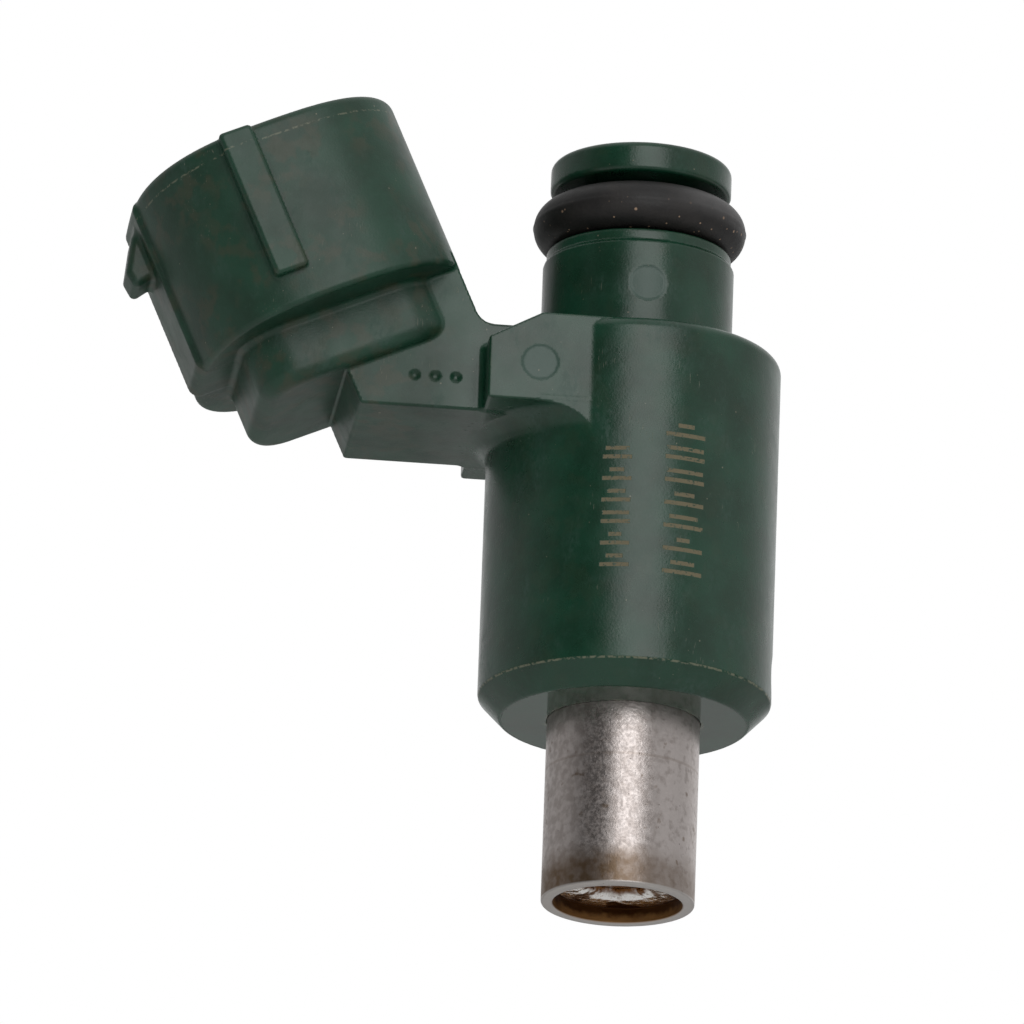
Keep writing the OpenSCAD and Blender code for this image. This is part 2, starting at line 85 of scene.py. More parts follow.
def make_camera():
    back = direction(AZIMUTH, ELEVATION)
    level = Vector((math.cos(math.radians(AZIMUTH)), math.sin(math.radians(AZIMUTH)), 0))
    upright = back.cross(level)
    roll = math.radians(ROLL)
    right = math.cos(roll) * level + math.sin(roll) * upright
    up = math.cos(roll) * upright - math.sin(roll) * level
    camera = bpy.data.objects.new("camera", bpy.data.cameras.new("camera"))
    scene.collection.objects.link(camera)
    camera.data.lens = LENS
    camera.data.clip_start, camera.data.clip_end = 0.01, 10
    turn = Matrix([right, up, back]).transposed()
    place = CENTRE + right * AIM_RIGHT + up * AIM_UP + back * DISTANCE
    camera.matrix_world = Matrix.Translation(place) @ turn.to_4x4()
    scene.camera = camera
    print("camera at", [round(c, 3) for c in place])


make_camera()

# %% [markdown]
# Dark satin plastic shows its shape by what it mirrors. A product table gives it
# three things: white paper behind, which brightens the rims, dark room beside the
# camera, and one soft box in front, which draws the long stripe down the body.
# The paper and the room are a sky. Its brightness follows the compass direction, is
# even overhead, and falls to one dim level below the horizon, where the table lies.
# The soft box is an area light. The camera itself sees plain white.

# %% Sky
SKY = ((-180, 1.0), (-150, 0.45), (-118, 0.44), (-94, 0.40), (-78, 0.26), (-62, 0.09), (-41, 0.045),
       (-22, 0.06), (26, 0.12), (44, 0.5), (62, 0.64), (95, 0.52), (120, 0.66), (142, 0.85), (180, 1.0))
SKY_TOP, SKY_LOW = 0.7, 0.26
OVERHEAD, HORIZON = (0.55, 0.9), (0.12, -0.04)
BACKGROUND = 1.0


def make_sky():
    sky = bpy.data.worlds.new("paper_sweep")
    scene.world = sky
    sky.use_nodes = True
    tree = sky.node_tree
    tree.nodes.clear()
    new = tree.nodes.new
    link = tree.links.new

    def share(value, low, high, kind="LINEAR"):
        """0 at low and 1 at high."""
        node = new("ShaderNodeMapRange")
        node.interpolation_type = kind
        node.inputs["From Min"].default_value = low
        node.inputs["From Max"].default_value = high
        link(value, node.inputs["Value"])
        return node.outputs[0]

    def towards(level, factor, other):
        """A level that turns into another one as the factor goes from 0 to 1."""
        node = new("ShaderNodeMix")
        link(factor, node.inputs["Factor"])
        link(level, node.inputs["A"])
        node.inputs["B"].default_value = other
        return node.outputs[0]

    parts = new("ShaderNodeSeparateXYZ")
    link(new("ShaderNodeTexCoord").outputs["Generated"], parts.inputs[0])
    front = new("ShaderNodeMath")
    front.operation = "MULTIPLY"
    front.inputs[1].default_value = -1
    link(parts.outputs["Y"], front.inputs[0])
    compass = new("ShaderNodeMath")
    compass.operation = "ARCTAN2"
    link(parts.outputs["X"], compass.inputs[0])
    link(front.outputs[0], compass.inputs[1])
    ring = new("ShaderNodeValToRGB")
    ring.color_ramp.interpolation = "EASE"
    stops = ring.color_ramp.elements
    while len(stops) < len(SKY):
        stops.new(0.5)
    for stop, (angle, bright) in zip(stops, SKY):
        stop.position = (angle + 180) / 360
        stop.color = (bright, bright, bright, 1)
    link(share(compass.outputs[0], -math.pi, math.pi), ring.inputs[0])
    level = towards(ring.outputs[0], share(parts.outputs["Z"], *OVERHEAD, "SMOOTHSTEP"), SKY_TOP)
    level = towards(level, share(parts.outputs["Z"], *HORIZON), SKY_LOW)
    level = towards(level, new("ShaderNodeLightPath").outputs["Is Camera Ray"], BACKGROUND)
    glow = new("ShaderNodeBackground")
    glow.inputs["Color"].default_value = (1, 1, 1, 1)
    link(level, glow.inputs["Strength"])
    out = new("ShaderNodeOutputWorld")
    link(glow.outputs[0], out.inputs["Surface"])


make_sky()
print("sky with", len(SKY), "directions")

# %% [markdown]
# The soft box is given by where it stands, its size, and how bright it looks next
# to the white paper. Its power in watts follows from brightness times area.

# %% Soft box and floor


def soft_box(name, azimuth, elevation, width, height, brightness, distance=0.5):
    lamp = bpy.data.objects.new(name, bpy.data.lights.new(name, "AREA"))
    scene.collection.objects.link(lamp)
    lamp.data.shape = "RECTANGLE"
    lamp.data.size, lamp.data.size_y = width, height
    lamp.data.energy = brightness * math.pi * width * height
    lamp.location = CENTRE + direction(azimuth, elevation) * distance
    lamp.rotation_euler = (CENTRE - lamp.location).to_track_quat("-Z", "Y").to_euler()
    lamp.visible_camera = False


def make_floor(level=-0.85, reach=3.0):
    """Pale table far below, so that a low camera still stands above it."""
    mesh = bpy.data.meshes.new("floor")
    corners = [(x * reach, y * reach, level) for x, y in ((-1, -1), (1, -1), (1, 1), (-1, 1))]
    mesh.from_pydata(corners, [], [(0, 1, 2, 3)])
    floor = bpy.data.objects.new("floor", mesh)
    scene.collection.objects.link(floor)
    paper = bpy.data.materials.new("floor_paper")
    paper.use_nodes = True
    shader = paper.node_tree.nodes["Principled BSDF"]
    shader.inputs["Base Color"].default_value = (0.8, 0.8, 0.79, 1)
    shader.inputs["Roughness"].default_value = 0.9
    mesh.materials.append(paper)


soft_box("front_box", 4.5, 17, 0.34, 0.42, 2.3)
make_floor()

# %% [markdown]
# The housing is one plastic moulding. What makes it look moulded is that its edges
# are soft, and that every two shapes share a small fillet where they meet. Bevels
# on a boolean tear at such joints. A distance field is steady: each shape is a
# formula for the distance to its skin, a rounded union adds the fillet, and a grid
# turns the whole field into one closed mesh.

# %% Distance formulas


def far(a, b):
    return np.sqrt(a * a + b * b)


def join(a, b, r=0.0):
    """Union with a fillet of radius r."""
    if not r:
        return np.minimum(a, b)
    return np.maximum(r, np.minimum(a, b)) - far(np.maximum(r - a, 0), np.maximum(r - b, 0))


def meet(a, b, r=0.0):
    """Intersection with its edge rounded by r."""
    if not r:
        return np.maximum(a, b)
    return np.minimum(-r, np.maximum(a, b)) + far(np.maximum(a + r, 0), np.maximum(b + r, 0))


def between(x, low, high):
    """Distance to a slab."""
    return np.abs(x - (low + high) / 2) - (high - low) / 2


def disc(r, z, radius, low, high, edge=0.0):
    """Solid disc round the axis between two heights."""
    return meet(r - radius, between(z, low, high), edge)


def oval(v, y, half_v, half_y, power):
    """Distance to a squarish oval."""
    a, b = np.abs(v / half_v) + 1e-6, np.abs(y / half_y) + 1e-6
    total = a ** power + b ** power
    level = total ** (1 / power)
    steep = level / total
    slope = steep * far(a ** (power - 1) / half_v, b ** (power - 1) / half_y)
    return (level - 1) / np.maximum(slope, 0.5 / half_y)


print("fillet of two faces at a corner", float(join(0.0, 0.0, 0.5)))

# %% [markdown]
# A plate is an outline with a thickness. Its corners are rounded by first moving
# every side inwards and then growing the outline by the same amount.

# %% Outlines


def inset(points, edge):
    """Moves every side of an outline inwards."""
    pts = [np.array(p, float) for p in points]
    area = sum(a[0] * b[1] - b[0] * a[1] for a, b in zip(pts, pts[1:] + pts[:1]))
    turn = math.copysign(1, area)
    moved = []
    for before, here, after in zip(pts[-1:] + pts[:-1], pts, pts[1:] + pts[:1]):
        one, two = here - before, after - here
        n1 = turn * np.array([-one[1], one[0]]) / np.hypot(*one)
        n2 = turn * np.array([-two[1], two[0]]) / np.hypot(*two)
        moved.append(here + edge * (n1 + n2) / (1 + n1 @ n2))
    return moved


def outline(x, z, points, edge=0.0):
    """Distance to a closed outline whose corners are rounded by edge."""
    pts = inset(points, edge)
    nearest = np.full(x.shape, np.inf)
    side = np.ones(x.shape)
    for a, b in zip(pts, pts[-1:] + pts[:-1]):
        ex, ez = b - a
        wx, wz = x - a[0], z - a[1]
        t = np.clip((wx * ex + wz * ez) / (ex * ex + ez * ez), 0, 1)
        nearest = np.minimum(nearest, (wx - ex * t) ** 2 + (wz - ez * t) ** 2)
        above, below, left = z >= a[1], z < b[1], ex * wz > ez * wx
        side = np.where((above & below & left) | (~above & ~below & ~left), -side, side)
    return side * np.sqrt(nearest) - edge


def plate(flat, y, half, edge=0.0):
    """Gives an outline a thickness, half on each side of the mid-plane."""
    return meet(flat, np.abs(y) - half, edge)


square = [(0, 0), (2, 0), (2, 2), (0, 2)]
print("middle of a 2 mm square is", float(outline(np.array(1.0), np.array(1.0), square)), "mm deep")

# %% [markdown]
# The sizes below repeat the drawing's. Lengths are from the nozzle's tip upwards,
# and the connector has its own leaning frame: u runs up out of its mouth, v across.

# %% Housing sizes
LEAN = math.radians(24.2)
MOUTH_X, MOUTH_Z = -19.82, 38.18
BODY_R, SHOULDER, SEAT_R, CHAMFER_H = 7.5, 9.65, 6.35, 1.2
BODY_TOP, BODY_EDGE = 29.15, 0.65
NECK_R, NECK_TOP, BAND_R, BAND_H, GROOVE_R = 4.92, 34.8, 4.75, 0.65, 2.88
COLLAR_R, COLLAR_LOW, COLLAR_TOP = 4.66, 38.0, 39.6
ROOMS = ((3.91, 0, 12.4), (6.75, 12.2, 25.4), (3.45, 25.0, 27.5), (2.35, 27.0, COLLAR_TOP + 2))
SHROUD_V, SHROUD_Y, SHROUD_POWER, SHROUD_L = 7.25, 8.35, 2.6, 9.77
WALL, SOCKET_DEPTH = 1.15, 8.9
KEY_V, KEY_W, KEY_L, KEY_Y = -2.2, 1.8, 8.1, 8.75
RAIL_HALF, RAIL_PROUD, WEDGE_HALF, WEDGE_PROUD, WEDGE_TOP, WEDGE_H = 2.3, 0.15, 1.3, 1.45, 0.55, 3.55
BLOCK_V, BLOCK_W, BLOCK_HALF, BLOCK_H, BLOCK_CORNER = 0.05, 10.5, 5.5, 3.08, 2.3
PLATE_HALF, PLATE_END, PLATE_INNER, ARM_LOW, HOLLOW_R = 4.6, 0.75, 6.7, 24.4, 1.0
BOSS_HALF, BOSS_REACH, BOSS_LOW, BOSS_LEVEL, SWEEP_R = 6.9, 8.2, 27.7, 5.5, 1.35
SOFT = 0.12


def on_plane(v, u):
    """A point of the mid-plane, given in the connector's frame."""
    return np.array([MOUTH_X + v * math.cos(LEAN) - u * math.sin(LEAN),
                     MOUTH_Z + v * math.sin(LEAN) + u * math.cos(LEAN)])


def in_connector(x, z):
    """The same the other way round: v and u of a point."""
    dx, dz = x - MOUTH_X, z - MOUTH_Z
    return dx * math.cos(LEAN) + dz * math.sin(LEAN), dz * math.cos(LEAN) - dx * math.sin(LEAN)


print("connector's mouth leans", round(math.degrees(LEAN), 1), "degrees")

# %% [markdown]
# First what is round about the axis. The body's lower edge is a crisp chamfer, its top
# edge a wide radius, and the collar has a small one. The finish paints a pale broken line
# round the chamfer's rim: partly flash, partly painted highlight.

# %% Turned shapes


def turned(r, z):
    body = meet(r - BODY_R, z - BODY_TOP, BODY_EDGE)
    run, rise = BODY_R - SEAT_R, CHAMFER_H
    chamfer = ((r - BODY_R) * rise - (z - SHOULDER - CHAMFER_H) * run) / math.hypot(run, rise)
    body = meet(body, meet(chamfer, SHOULDER - z, 0.08), 0.06)
    neck = disc(r, z, NECK_R, BODY_TOP - 2, NECK_TOP - BAND_H, 0.16)
    band = disc(r, z, BAND_R, BODY_TOP - 2, NECK_TOP, SOFT)
    groove = disc(r, z, GROOVE_R, BODY_TOP, COLLAR_TOP - 0.5)
    collar = meet(disc(r, z, COLLAR_R, COLLAR_LOW, COLLAR_TOP, 0.26),
                  meet(r - COLLAR_R, z - COLLAR_TOP, 0.35))
    stem = join(join(neck, band, 0.12), groove, 0.15)
    return join(join(body, stem, 0.12), collar, 0.15)


def steel_room(r, z):
    """Room inside for the metal parts: discs, each with its radius, foot and top."""
    return np.minimum.reduce([disc(r, z, *room) for room in ROOMS])


print("chamfer under the body", round(math.degrees(math.atan2(CHAMFER_H, BODY_R - SEAT_R))), "degrees")

# %% [markdown]
# The arm is a plate that carries the plug, with a hollow corner towards the body, a
# wider boss where it meets the body, and a sweep under the boss that runs out into
# the round body.

# %% Arm shapes
end_u = (ARM_LOW - MOUTH_Z + PLATE_END * math.sin(LEAN)) / math.cos(LEAN)
hollow_u = (BODY_TOP - MOUTH_Z - PLATE_INNER * math.sin(LEAN)) / math.cos(LEAN)
hollow = on_plane(PLATE_INNER, hollow_u)
setback = HOLLOW_R / math.tan((math.pi / 2 + LEAN) / 2)
hollow_centre = hollow + (setback, HOLLOW_R)
under_shroud = -SHROUD_L + 1.0
PLATE_SHAPE = [on_plane(-PLATE_END, under_shroud), on_plane(-PLATE_END, end_u), (0, ARM_LOW),
               (0, BODY_TOP), hollow, on_plane(PLATE_INNER, under_shroud)]
HOLLOW_SHAPE = [hollow - (0.5, 0.5), hollow + (setback, -0.5), hollow + (setback, 0), hollow_centre,
                on_plane(PLATE_INNER, hollow_u + setback), on_plane(PLATE_INNER - 0.5, hollow_u + setback)]
BOSS_SHAPE = [(-BOSS_REACH, ARM_LOW), (0, ARM_LOW), (0, BODY_TOP), (-BOSS_LEVEL, BODY_TOP),
              (-BOSS_REACH, BOSS_LOW)]


def arm(x, y, z, r):
    curve = HOLLOW_R - far(x - hollow_centre[0], z - hollow_centre[1])
    sides = join(outline(x, z, PLATE_SHAPE, 0.18), np.maximum(outline(x, z, HOLLOW_SHAPE), curve))
    panel = plate(sides, y, PLATE_HALF, SOFT)
    rear = np.where(y > 0, 0.5, SOFT)
    flat, thick = outline(x, z, BOSS_SHAPE, 0.15), np.abs(y) - BOSS_HALF
    boss = np.minimum(-rear, np.maximum(flat, thick))
    boss = boss + far(np.maximum(flat + rear, 0), np.maximum(thick + rear, 0))
    outer, low = BODY_R + SWEEP_R, ARM_LOW - SWEEP_R
    sweep = np.maximum(r - outer, between(z, low, ARM_LOW + 0.3))
    sweep = np.maximum(sweep, SWEEP_R - far(r - outer, z - low))
    sweep = meet(np.maximum(sweep, x), np.abs(y) - BOSS_HALF, 0.05)
    return join(join(panel, boss, 0.35), sweep, 0.04)


print("hollow corner at", hollow.round(2).tolist())

# %% [markdown]
# The shroud is an oval cup in the leaning frame. It has a key rib on each side, a
# rail with a lock wedge on its outer face, and under it the block that holds the
# blades. A plug's spring clip rides up the wedge and snaps in under it, so the
# wedge's long side slopes and its short side is steep.

# %% Shroud shapes


def shroud(v, y, u):
    cup = meet(oval(v, y, SHROUD_V, SHROUD_Y, SHROUD_POWER), u, 0.45)
    cup = meet(cup, -SHROUD_L - u, 0.3)
    key = meet(between(v, KEY_V - KEY_W / 2, KEY_V + KEY_W / 2), np.abs(y) - KEY_Y, 0.24)
    key = np.maximum(meet(key, between(u, -KEY_L, -0.04), 0.24), 4 - np.abs(y))
    rail = meet(np.abs(y) - RAIL_HALF, -SHROUD_V - RAIL_PROUD - v, 0.2)
    rail = np.maximum(meet(rail, between(u, -SHROUD_L, -0.02), 0.6), v + 5)
    knee = -WEDGE_TOP - 0.72 * WEDGE_H
    foot = -WEDGE_TOP - WEDGE_H
    ramp = [(-6.4, -WEDGE_TOP + 0.1), (-SHROUD_V - 0.5, -WEDGE_TOP - 0.9),
            (-SHROUD_V - WEDGE_PROUD, knee), (-SHROUD_V - WEDGE_PROUD + 0.12, foot),
            (-6.4, foot + 0.5)]
    wedge = plate(outline(v, u, ramp, 0.3), y, WEDGE_HALF, 0.38)
    block = between(v, BLOCK_V - BLOCK_W / 2, BLOCK_V + BLOCK_W / 2)
    block = meet(block, np.abs(y) - BLOCK_HALF, BLOCK_CORNER)
    block = meet(block, between(u, -SHROUD_L - BLOCK_H, -SHROUD_L + 0.9), 0.8)
    field = join(cup, key, 0.1)
    field = join(join(field, rail, 0.12), wedge, 0.3)
    return join(field, block, 0.35)


def socket(v, y, u):
    room = oval(v, y, SHROUD_V - WALL, SHROUD_Y - WALL, SHROUD_POWER)
    return meet(room, -SOCKET_DEPTH - u, 0.3)


print("socket", round(2 * (SHROUD_Y - WALL), 1), "mm wide and", SOCKET_DEPTH, "mm deep")

# %% [markdown]
# Small marks make the moulding real. Ejector pins leave shallow discs on the boss
# and the neck, three dimples in the plate stand for a mould's number, and a knock
# has taken a chip from the body a little above its chamfer. A dent is not cut out: it
# moves the skin in by a smooth amount, so that it has no ragged rim.

# %% Marks in the skin
PIN_R, PIN_DEPTH = 1.02, 0.05
PIN_MARKS = ((-5.57, 26.44, BOSS_HALF), (0.0, 31.8, NECK_R))
DIMPLES, DIMPLE_Z, DIMPLE_R, DIMPLE_DEPTH = (-11.75, -10.7, -9.65), 26.1, 0.36, 0.14
CHIP_TURN, CHIP_Z, CHIP_R, CHIP_DEPTH = -5.5, 12.4, 3.0, 0.17


def dent(x, y, z, centre_x, centre_z, face, radius, wall):
    """Share of a round dent's depth at each point; face is how far forward it lies."""
    share = np.clip((radius - far(x - centre_x, z - centre_z)) / wall, 0, 1)
    return share * share * (3 - 2 * share) * (np.abs(y + face) < 1)


def marked(field, x, y, z):
    for px, pz, face in PIN_MARKS:
        field = field + PIN_DEPTH * dent(x, y, z, px, pz, face, PIN_R, 0.22)
    for px in DIMPLES:
        field = field + DIMPLE_DEPTH * dent(x, y, z, px, DIMPLE_Z, PLATE_HALF, DIMPLE_R, 0.3)
    angle = math.radians(CHIP_TURN)
    reach = BODY_R + CHIP_R - CHIP_DEPTH
    chip = np.sqrt((x - reach * math.cos(angle)) ** 2 + (y - reach * math.sin(angle)) ** 2
                   + (z - CHIP_Z) ** 2) - CHIP_R
    return meet(field, -chip, 0.05)


def housing_field(p):
    """Distance from points, in millimetres, to the housing's skin."""
    x, y, z = p[..., 0], p[..., 1], p[..., 2]
    r = far(x, y)
    v, u = in_connector(x, z)
    field = join(turned(r, z), arm(x, y, z, r), 0.06)
    field = join(field, shroud(v, y, u), 0.15)
    field = meet(field, -socket(v, y, u), 0.25)
    field = marked(field, x, y, z)
    return np.maximum(field, -steel_room(r, z))


wedge_tip = np.array([-26.9, 0, 31.9])
print("the skin is", round(float(housing_field(wedge_tip)), 2), "mm from a point at the wedge's tip")

# %% [markdown]
# From field to mesh with a surface net: every small cell that the skin crosses gets
# one point, and every cell edge that it crosses gets a face between four points.
# Only blocks of cells near the skin are worked out, since most of the box is empty.

# %% Surface net
BLOCK = 4


def near_skin(field, low, shape, cell):
    """The field on the whole grid, exact near the skin and only its sign elsewhere."""
    blocks = [n // BLOCK for n in shape]
    middle = [low[i] + (np.arange(blocks[i]) + 0.5 - 0.5 / BLOCK) * BLOCK * cell for i in range(3)]
    across = np.meshgrid(middle[1], middle[2], indexing="ij")
    rough = np.stack([field(np.stack(np.broadcast_arrays(x, *across), -1)) for x in middle[0]])
    value = np.repeat(np.repeat(np.repeat(rough.astype(np.float32), BLOCK, 0), BLOCK, 1), BLOCK, 2)
    inner = np.stack(np.meshgrid(*[np.arange(BLOCK)] * 3, indexing="ij"), -1).reshape(-1, 3)
    for chosen in np.array_split(np.argwhere(np.abs(rough) < BLOCK * cell * 1.25), 40):
        cells = (chosen[:, None] * BLOCK + inner).reshape(-1, 3)
        value[tuple(cells.T)] = field(low + cells * cell)
    return value


def surface_net(field, low, high, cell):
    """Points and four-sided faces of the skin inside a box."""
    low = np.array(low) - 2 * cell
    shape = [int(math.ceil((high[i] + 2 * cell - low[i]) / cell / BLOCK)) * BLOCK for i in range(3)]
    value = near_skin(field, low, shape, cell)
    solid = value < 0
    keys, crossings, faces = [], [], []
    strides = np.array([shape[1] * shape[2], shape[2], 1])
    step = np.eye(3, dtype=int)
    for k in range(3):
        a, b = (k + 1) % 3, (k + 2) % 3
        near = [slice(1, n - 1) for n in shape]
        beyond = list(near)
        beyond[k] = slice(2, shape[k])
        edge = np.argwhere(solid[tuple(near)] != solid[tuple(beyond)]) + 1
        start, end = value[tuple(edge.T)], value[tuple((edge + step[k]).T)]
        at = edge + step[k] * (start / (start - end))[:, None]
        ring = [edge - step[a] - step[b], edge - step[b], edge, edge - step[a]]
        face = np.stack([corner @ strides for corner in ring], 1)
        face[start > 0] = face[start > 0][:, ::-1]
        faces.append(face)
        for corner in range(4):
            keys.append(ring[corner] @ strides)
            crossings.append(at)
    keys, crossings = np.concatenate(keys), np.concatenate(crossings)
    cells, number = np.unique(keys, return_inverse=True)
    count = np.bincount(number)
    points = np.stack([np.bincount(number, crossings[:, i]) / count for i in range(3)], 1)
    return low + points * cell, np.searchsorted(cells, np.concatenate(faces))


def ball(p):
    """Distance to a ball of 1 mm radius, to try the net on."""
    return np.sqrt((p * p).sum(-1)) - 1


ball_points, ball_faces = surface_net(ball, (-1, -1, -1), (1, 1, 1), 0.25)
print("a ball becomes", len(ball_points), "points and", len(ball_faces), "faces")

# %% [markdown]
# The net's points lie a little off the skin. A few steps down the field's slope put
# each one exactly on it, which also takes the grid's steps away.

# %% Settling on the skin
CORNERS = np.array([(1, 1, 1), (1, -1, -1), (-1, 1, -1), (-1, -1, 1)])


def slope(field, p, reach=0.012):
    """Value and direction of growth of the field, from four close points."""
    samples = [field(p + reach * corner) for corner in CORNERS]
    grow = sum(s[:, None] * c for s, c in zip(samples, CORNERS)) / (4 * reach)
    return sum(samples) / 4, grow


def settle(field, p, rounds):
    for _ in range(rounds):
        value, grow = slope(field, p)
        size = np.maximum((grow * grow).sum(1), 0.25)
        p = p - np.clip(value / size, -0.12, 0.12)[:, None] * grow
    return p


def new_piece(name, points_mm, faces):
    """Mesh object with its place in its mesh and smooth faces."""
    mesh = bpy.data.meshes.new(name)
    mesh.from_pydata((np.asarray(points_mm) * MM).tolist(), [], [list(f) for f in faces])
    mesh.validate()
    mesh.polygons.foreach_set("use_smooth", [True] * len(mesh.polygons))
    piece = bpy.data.objects.new(name, mesh)
    scene.collection.objects.link(piece)
    return piece


def points_of(piece):
    flat = np.empty(len(piece.data.vertices) * 3)
    piece.data.vertices.foreach_get("co", flat)
    return flat.reshape(-1, 3) / MM


def applied(piece):
    """The mesh that a piece's modifiers give, which becomes its own mesh."""
    depsgraph = bpy.context.evaluated_depsgraph_get()
    mesh = bpy.data.meshes.new_from_object(piece.evaluated_get(depsgraph))
    piece.modifiers.clear()
    piece.data = mesh
    return mesh


left = np.abs(ball(settle(ball, ball_points, 2))).max()
print("settled points lie within", round(float(left), 6), "mm of the ball")

# %% [markdown]
# A fine net has far more points than flat faces need. Decimate keeps them where the
# skin bends. After that the points settle once more, each point gets the field's
# own direction as its normal, and two values for the finish: how far it stands on
# an edge, where plastic rubs pale, and how deep in a corner, where the finish
# paints shade.

# %% Housing
CELL = 0.125
MOST_TRIANGLES = 190000
FEEL = 0.3
KEEP_IN = 0.001


def housing_mesh():
    low, high = span("resin_housing")
    points, faces = surface_net(housing_field, low, high, CELL)
    points = settle(housing_field, points, 2)
    piece = new_piece("housing", points, faces.tolist())
    thin = piece.modifiers.new("thin", "DECIMATE")
    thin.ratio = min(1.0, MOST_TRIANGLES / (2 * len(faces)))
    slim = applied(piece)
    points = settle(housing_field, points_of(piece), 2)
    points = np.clip(points, low + KEEP_IN, high - KEEP_IN)
    slim.vertices.foreach_set("co", (points * MM).ravel())
    _, grow = slope(housing_field, points)
    normals = grow / np.maximum(np.linalg.norm(grow, axis=1), 1e-6)[:, None]
    edge = np.clip((housing_field(points - FEEL * normals) + FEEL) / FEEL, 0, 1)
    hollow_part = np.clip((FEEL - housing_field(points + FEEL * normals)) / FEEL, 0, 1)
    for name, value in (("edge", edge), ("corner", hollow_part)):
        slim.attributes.new(name, "FLOAT", "POINT").data.foreach_set("value", value)
    slim.polygons.foreach_set("use_smooth", [True] * len(slim.polygons))
    slim.normals_split_custom_set_from_vertices(normals.tolist())
    print("housing", len(slim.vertices), "points", len(slim.polygons), "faces, worst error",
          round(float(np.abs(housing_field(points)).max()), 3), "mm")
    return piece


housing = housing_mesh()
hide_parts("resin_housing")
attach(housing, "injector")

# %% [markdown]
# The steel tube, the washer in its tip and the rubber ring are turned pieces. A lathe
# sweeps a closed outline round the axis. Real turned edges are never razor sharp, so
# each corner of the outline gets a small arc first.

# %% Lathe
STEPS = 160


def with_arcs(profile, pieces=5):
    """Replaces each (r, z, radius) corner with an arc of that radius."""
    done = []
    for before, here, after in zip(profile[-1:] + profile[:-1], profile, profile[1:] + profile[:1]):
        corner = Vector(here[:2])
        one, two = Vector(before[:2]) - corner, Vector(after[:2]) - corner
        if here[2] == 0:
            done.append(tuple(corner))
            continue
        half = one.angle(two) / 2
        back = min(here[2] / math.tan(half), one.length * 0.49, two.length * 0.49)
        start, end = corner + one.normalized() * back, corner + two.normalized() * back
        for i in range(pieces + 1):
            t = i / pieces
            done.append(tuple(start * (1 - t) ** 2 + corner * 2 * t * (1 - t) + end * t * t))
    return done


def lathe(name, outline_rz, sharp=40):
    rim = np.array(outline_rz)
    turns = np.arange(STEPS) * 2 * math.pi / STEPS
    points = [(r * math.cos(t), r * math.sin(t), z) for t in turns for r, z in rim]
    n = len(rim)
    faces = [(i * n + j, (i + 1) % STEPS * n + j, (i + 1) % STEPS * n + (j + 1) % n, i * n + (j + 1) % n)
             for i in range(STEPS) for j in range(n)]
    piece = new_piece(name, points, faces)
    shape = bmesh.new()
    shape.from_mesh(piece.data)
    bmesh.ops.recalc_face_normals(shape, faces=shape.faces)
    shape.to_mesh(piece.data)
    shape.free()
    piece.data.set_sharp_from_angle(angle=math.radians(sharp))
    print(name, "has", len(faces), "faces")
    return piece


def stands_for(piece, node, body="injector"):
    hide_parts(node)
    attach(piece, body)


rounded = with_arcs([(1, 0, 0.1), (1, 1, 0), (0, 1, 0), (0, 0, 0)])
print("one rounded corner of a square turns 4 points into", len(rounded))

# %% [markdown]
# The tube's lip is rolled outside and chamfered inside. Its bore steps in for the
# seat, and again for the fuel chamber, and widens where the armature slides.

# %% Steel tube and washer
TUBE = [(3.91, 0.0, 0.16), (3.91, 9.75, 0), (3.70, 9.75, 0), (3.70, 10.35, 0), (4.15, 10.35, 0),
        (4.15, 13.2, 0), (3.45, 13.2, 0), (3.45, 15.5, 0), (2.98, 15.5, 0), (2.98, 12.6, 0),
        (2.70, 12.6, 0), (2.70, 5.4, 0), (3.2, 5.4, 0), (3.2, 0.8, 0), (3.3, 0.8, 0.04), (3.3, 0.0, 0.12)]
WASHER = [(1.5, 1.35, 0.03), (1.62, 1.1, 0.08), (2.2, 0.9, 0.25), (2.9, 0.83, 0.2), (3.2, 0.8, 0.05),
          (3.2, 1.35, 0.03)]

tube = lathe("nozzle_tube_turned", with_arcs(TUBE))
stands_for(tube, "nozzle_tube")
washer = lathe("backup_washer_pressed", with_arcs(WASHER))
stands_for(washer, "backup_washer")

# %% [markdown]
# A rubber ring comes out of a two-part mould, so a thin line of flash runs round its
# widest and narrowest places. Between those lines its section is a plain circle.

# %% Rubber ring
seal_low, seal_high = span("inlet_o_ring")
SECTION_R = (seal_high[2] - seal_low[2]) / 2
RING_MIDDLE = seal_high[0] - SECTION_R
SEAL_Z = (seal_high[2] + seal_low[2]) / 2
FLASH = 0.03


def seal_outline(count=72):
    shape = []
    for i in range(count):
        t = 2 * math.pi * i / count
        flash = FLASH * math.exp(-(math.sin(t) / 0.05) ** 2)
        reach = SECTION_R - FLASH + flash
        shape.append((RING_MIDDLE + reach * math.cos(t), SEAL_Z + reach * math.sin(t)))
    return shape


seal = lathe("rubber_ring", seal_outline(), sharp=180)
stands_for(seal, "inlet_o_ring")

# %% [markdown]
# Wire that follows a rule is drawn by Geometry Nodes: a curve, a round section swept
# along it, and a lift to its height. Each tree's sizes are named inputs, so the same
# small tree would serve any coil or any filter.

# %% Geometry Nodes helpers


def new_tree(name, sizes):
    tree = bpy.data.node_groups.new(name, "GeometryNodeTree")
    face = tree.interface
    face.new_socket("Geometry", in_out="INPUT", socket_type="NodeSocketGeometry")
    for size, value in sizes.items():
        kind = "NodeSocketInt" if isinstance(value, int) else "NodeSocketFloat"
        face.new_socket(size, in_out="INPUT", socket_type=kind).default_value = value
    face.new_socket("Geometry", in_out="OUTPUT", socket_type="NodeSocketGeometry")
    return tree, tree.nodes.new("NodeGroupInput"), tree.nodes.new("NodeGroupOutput")


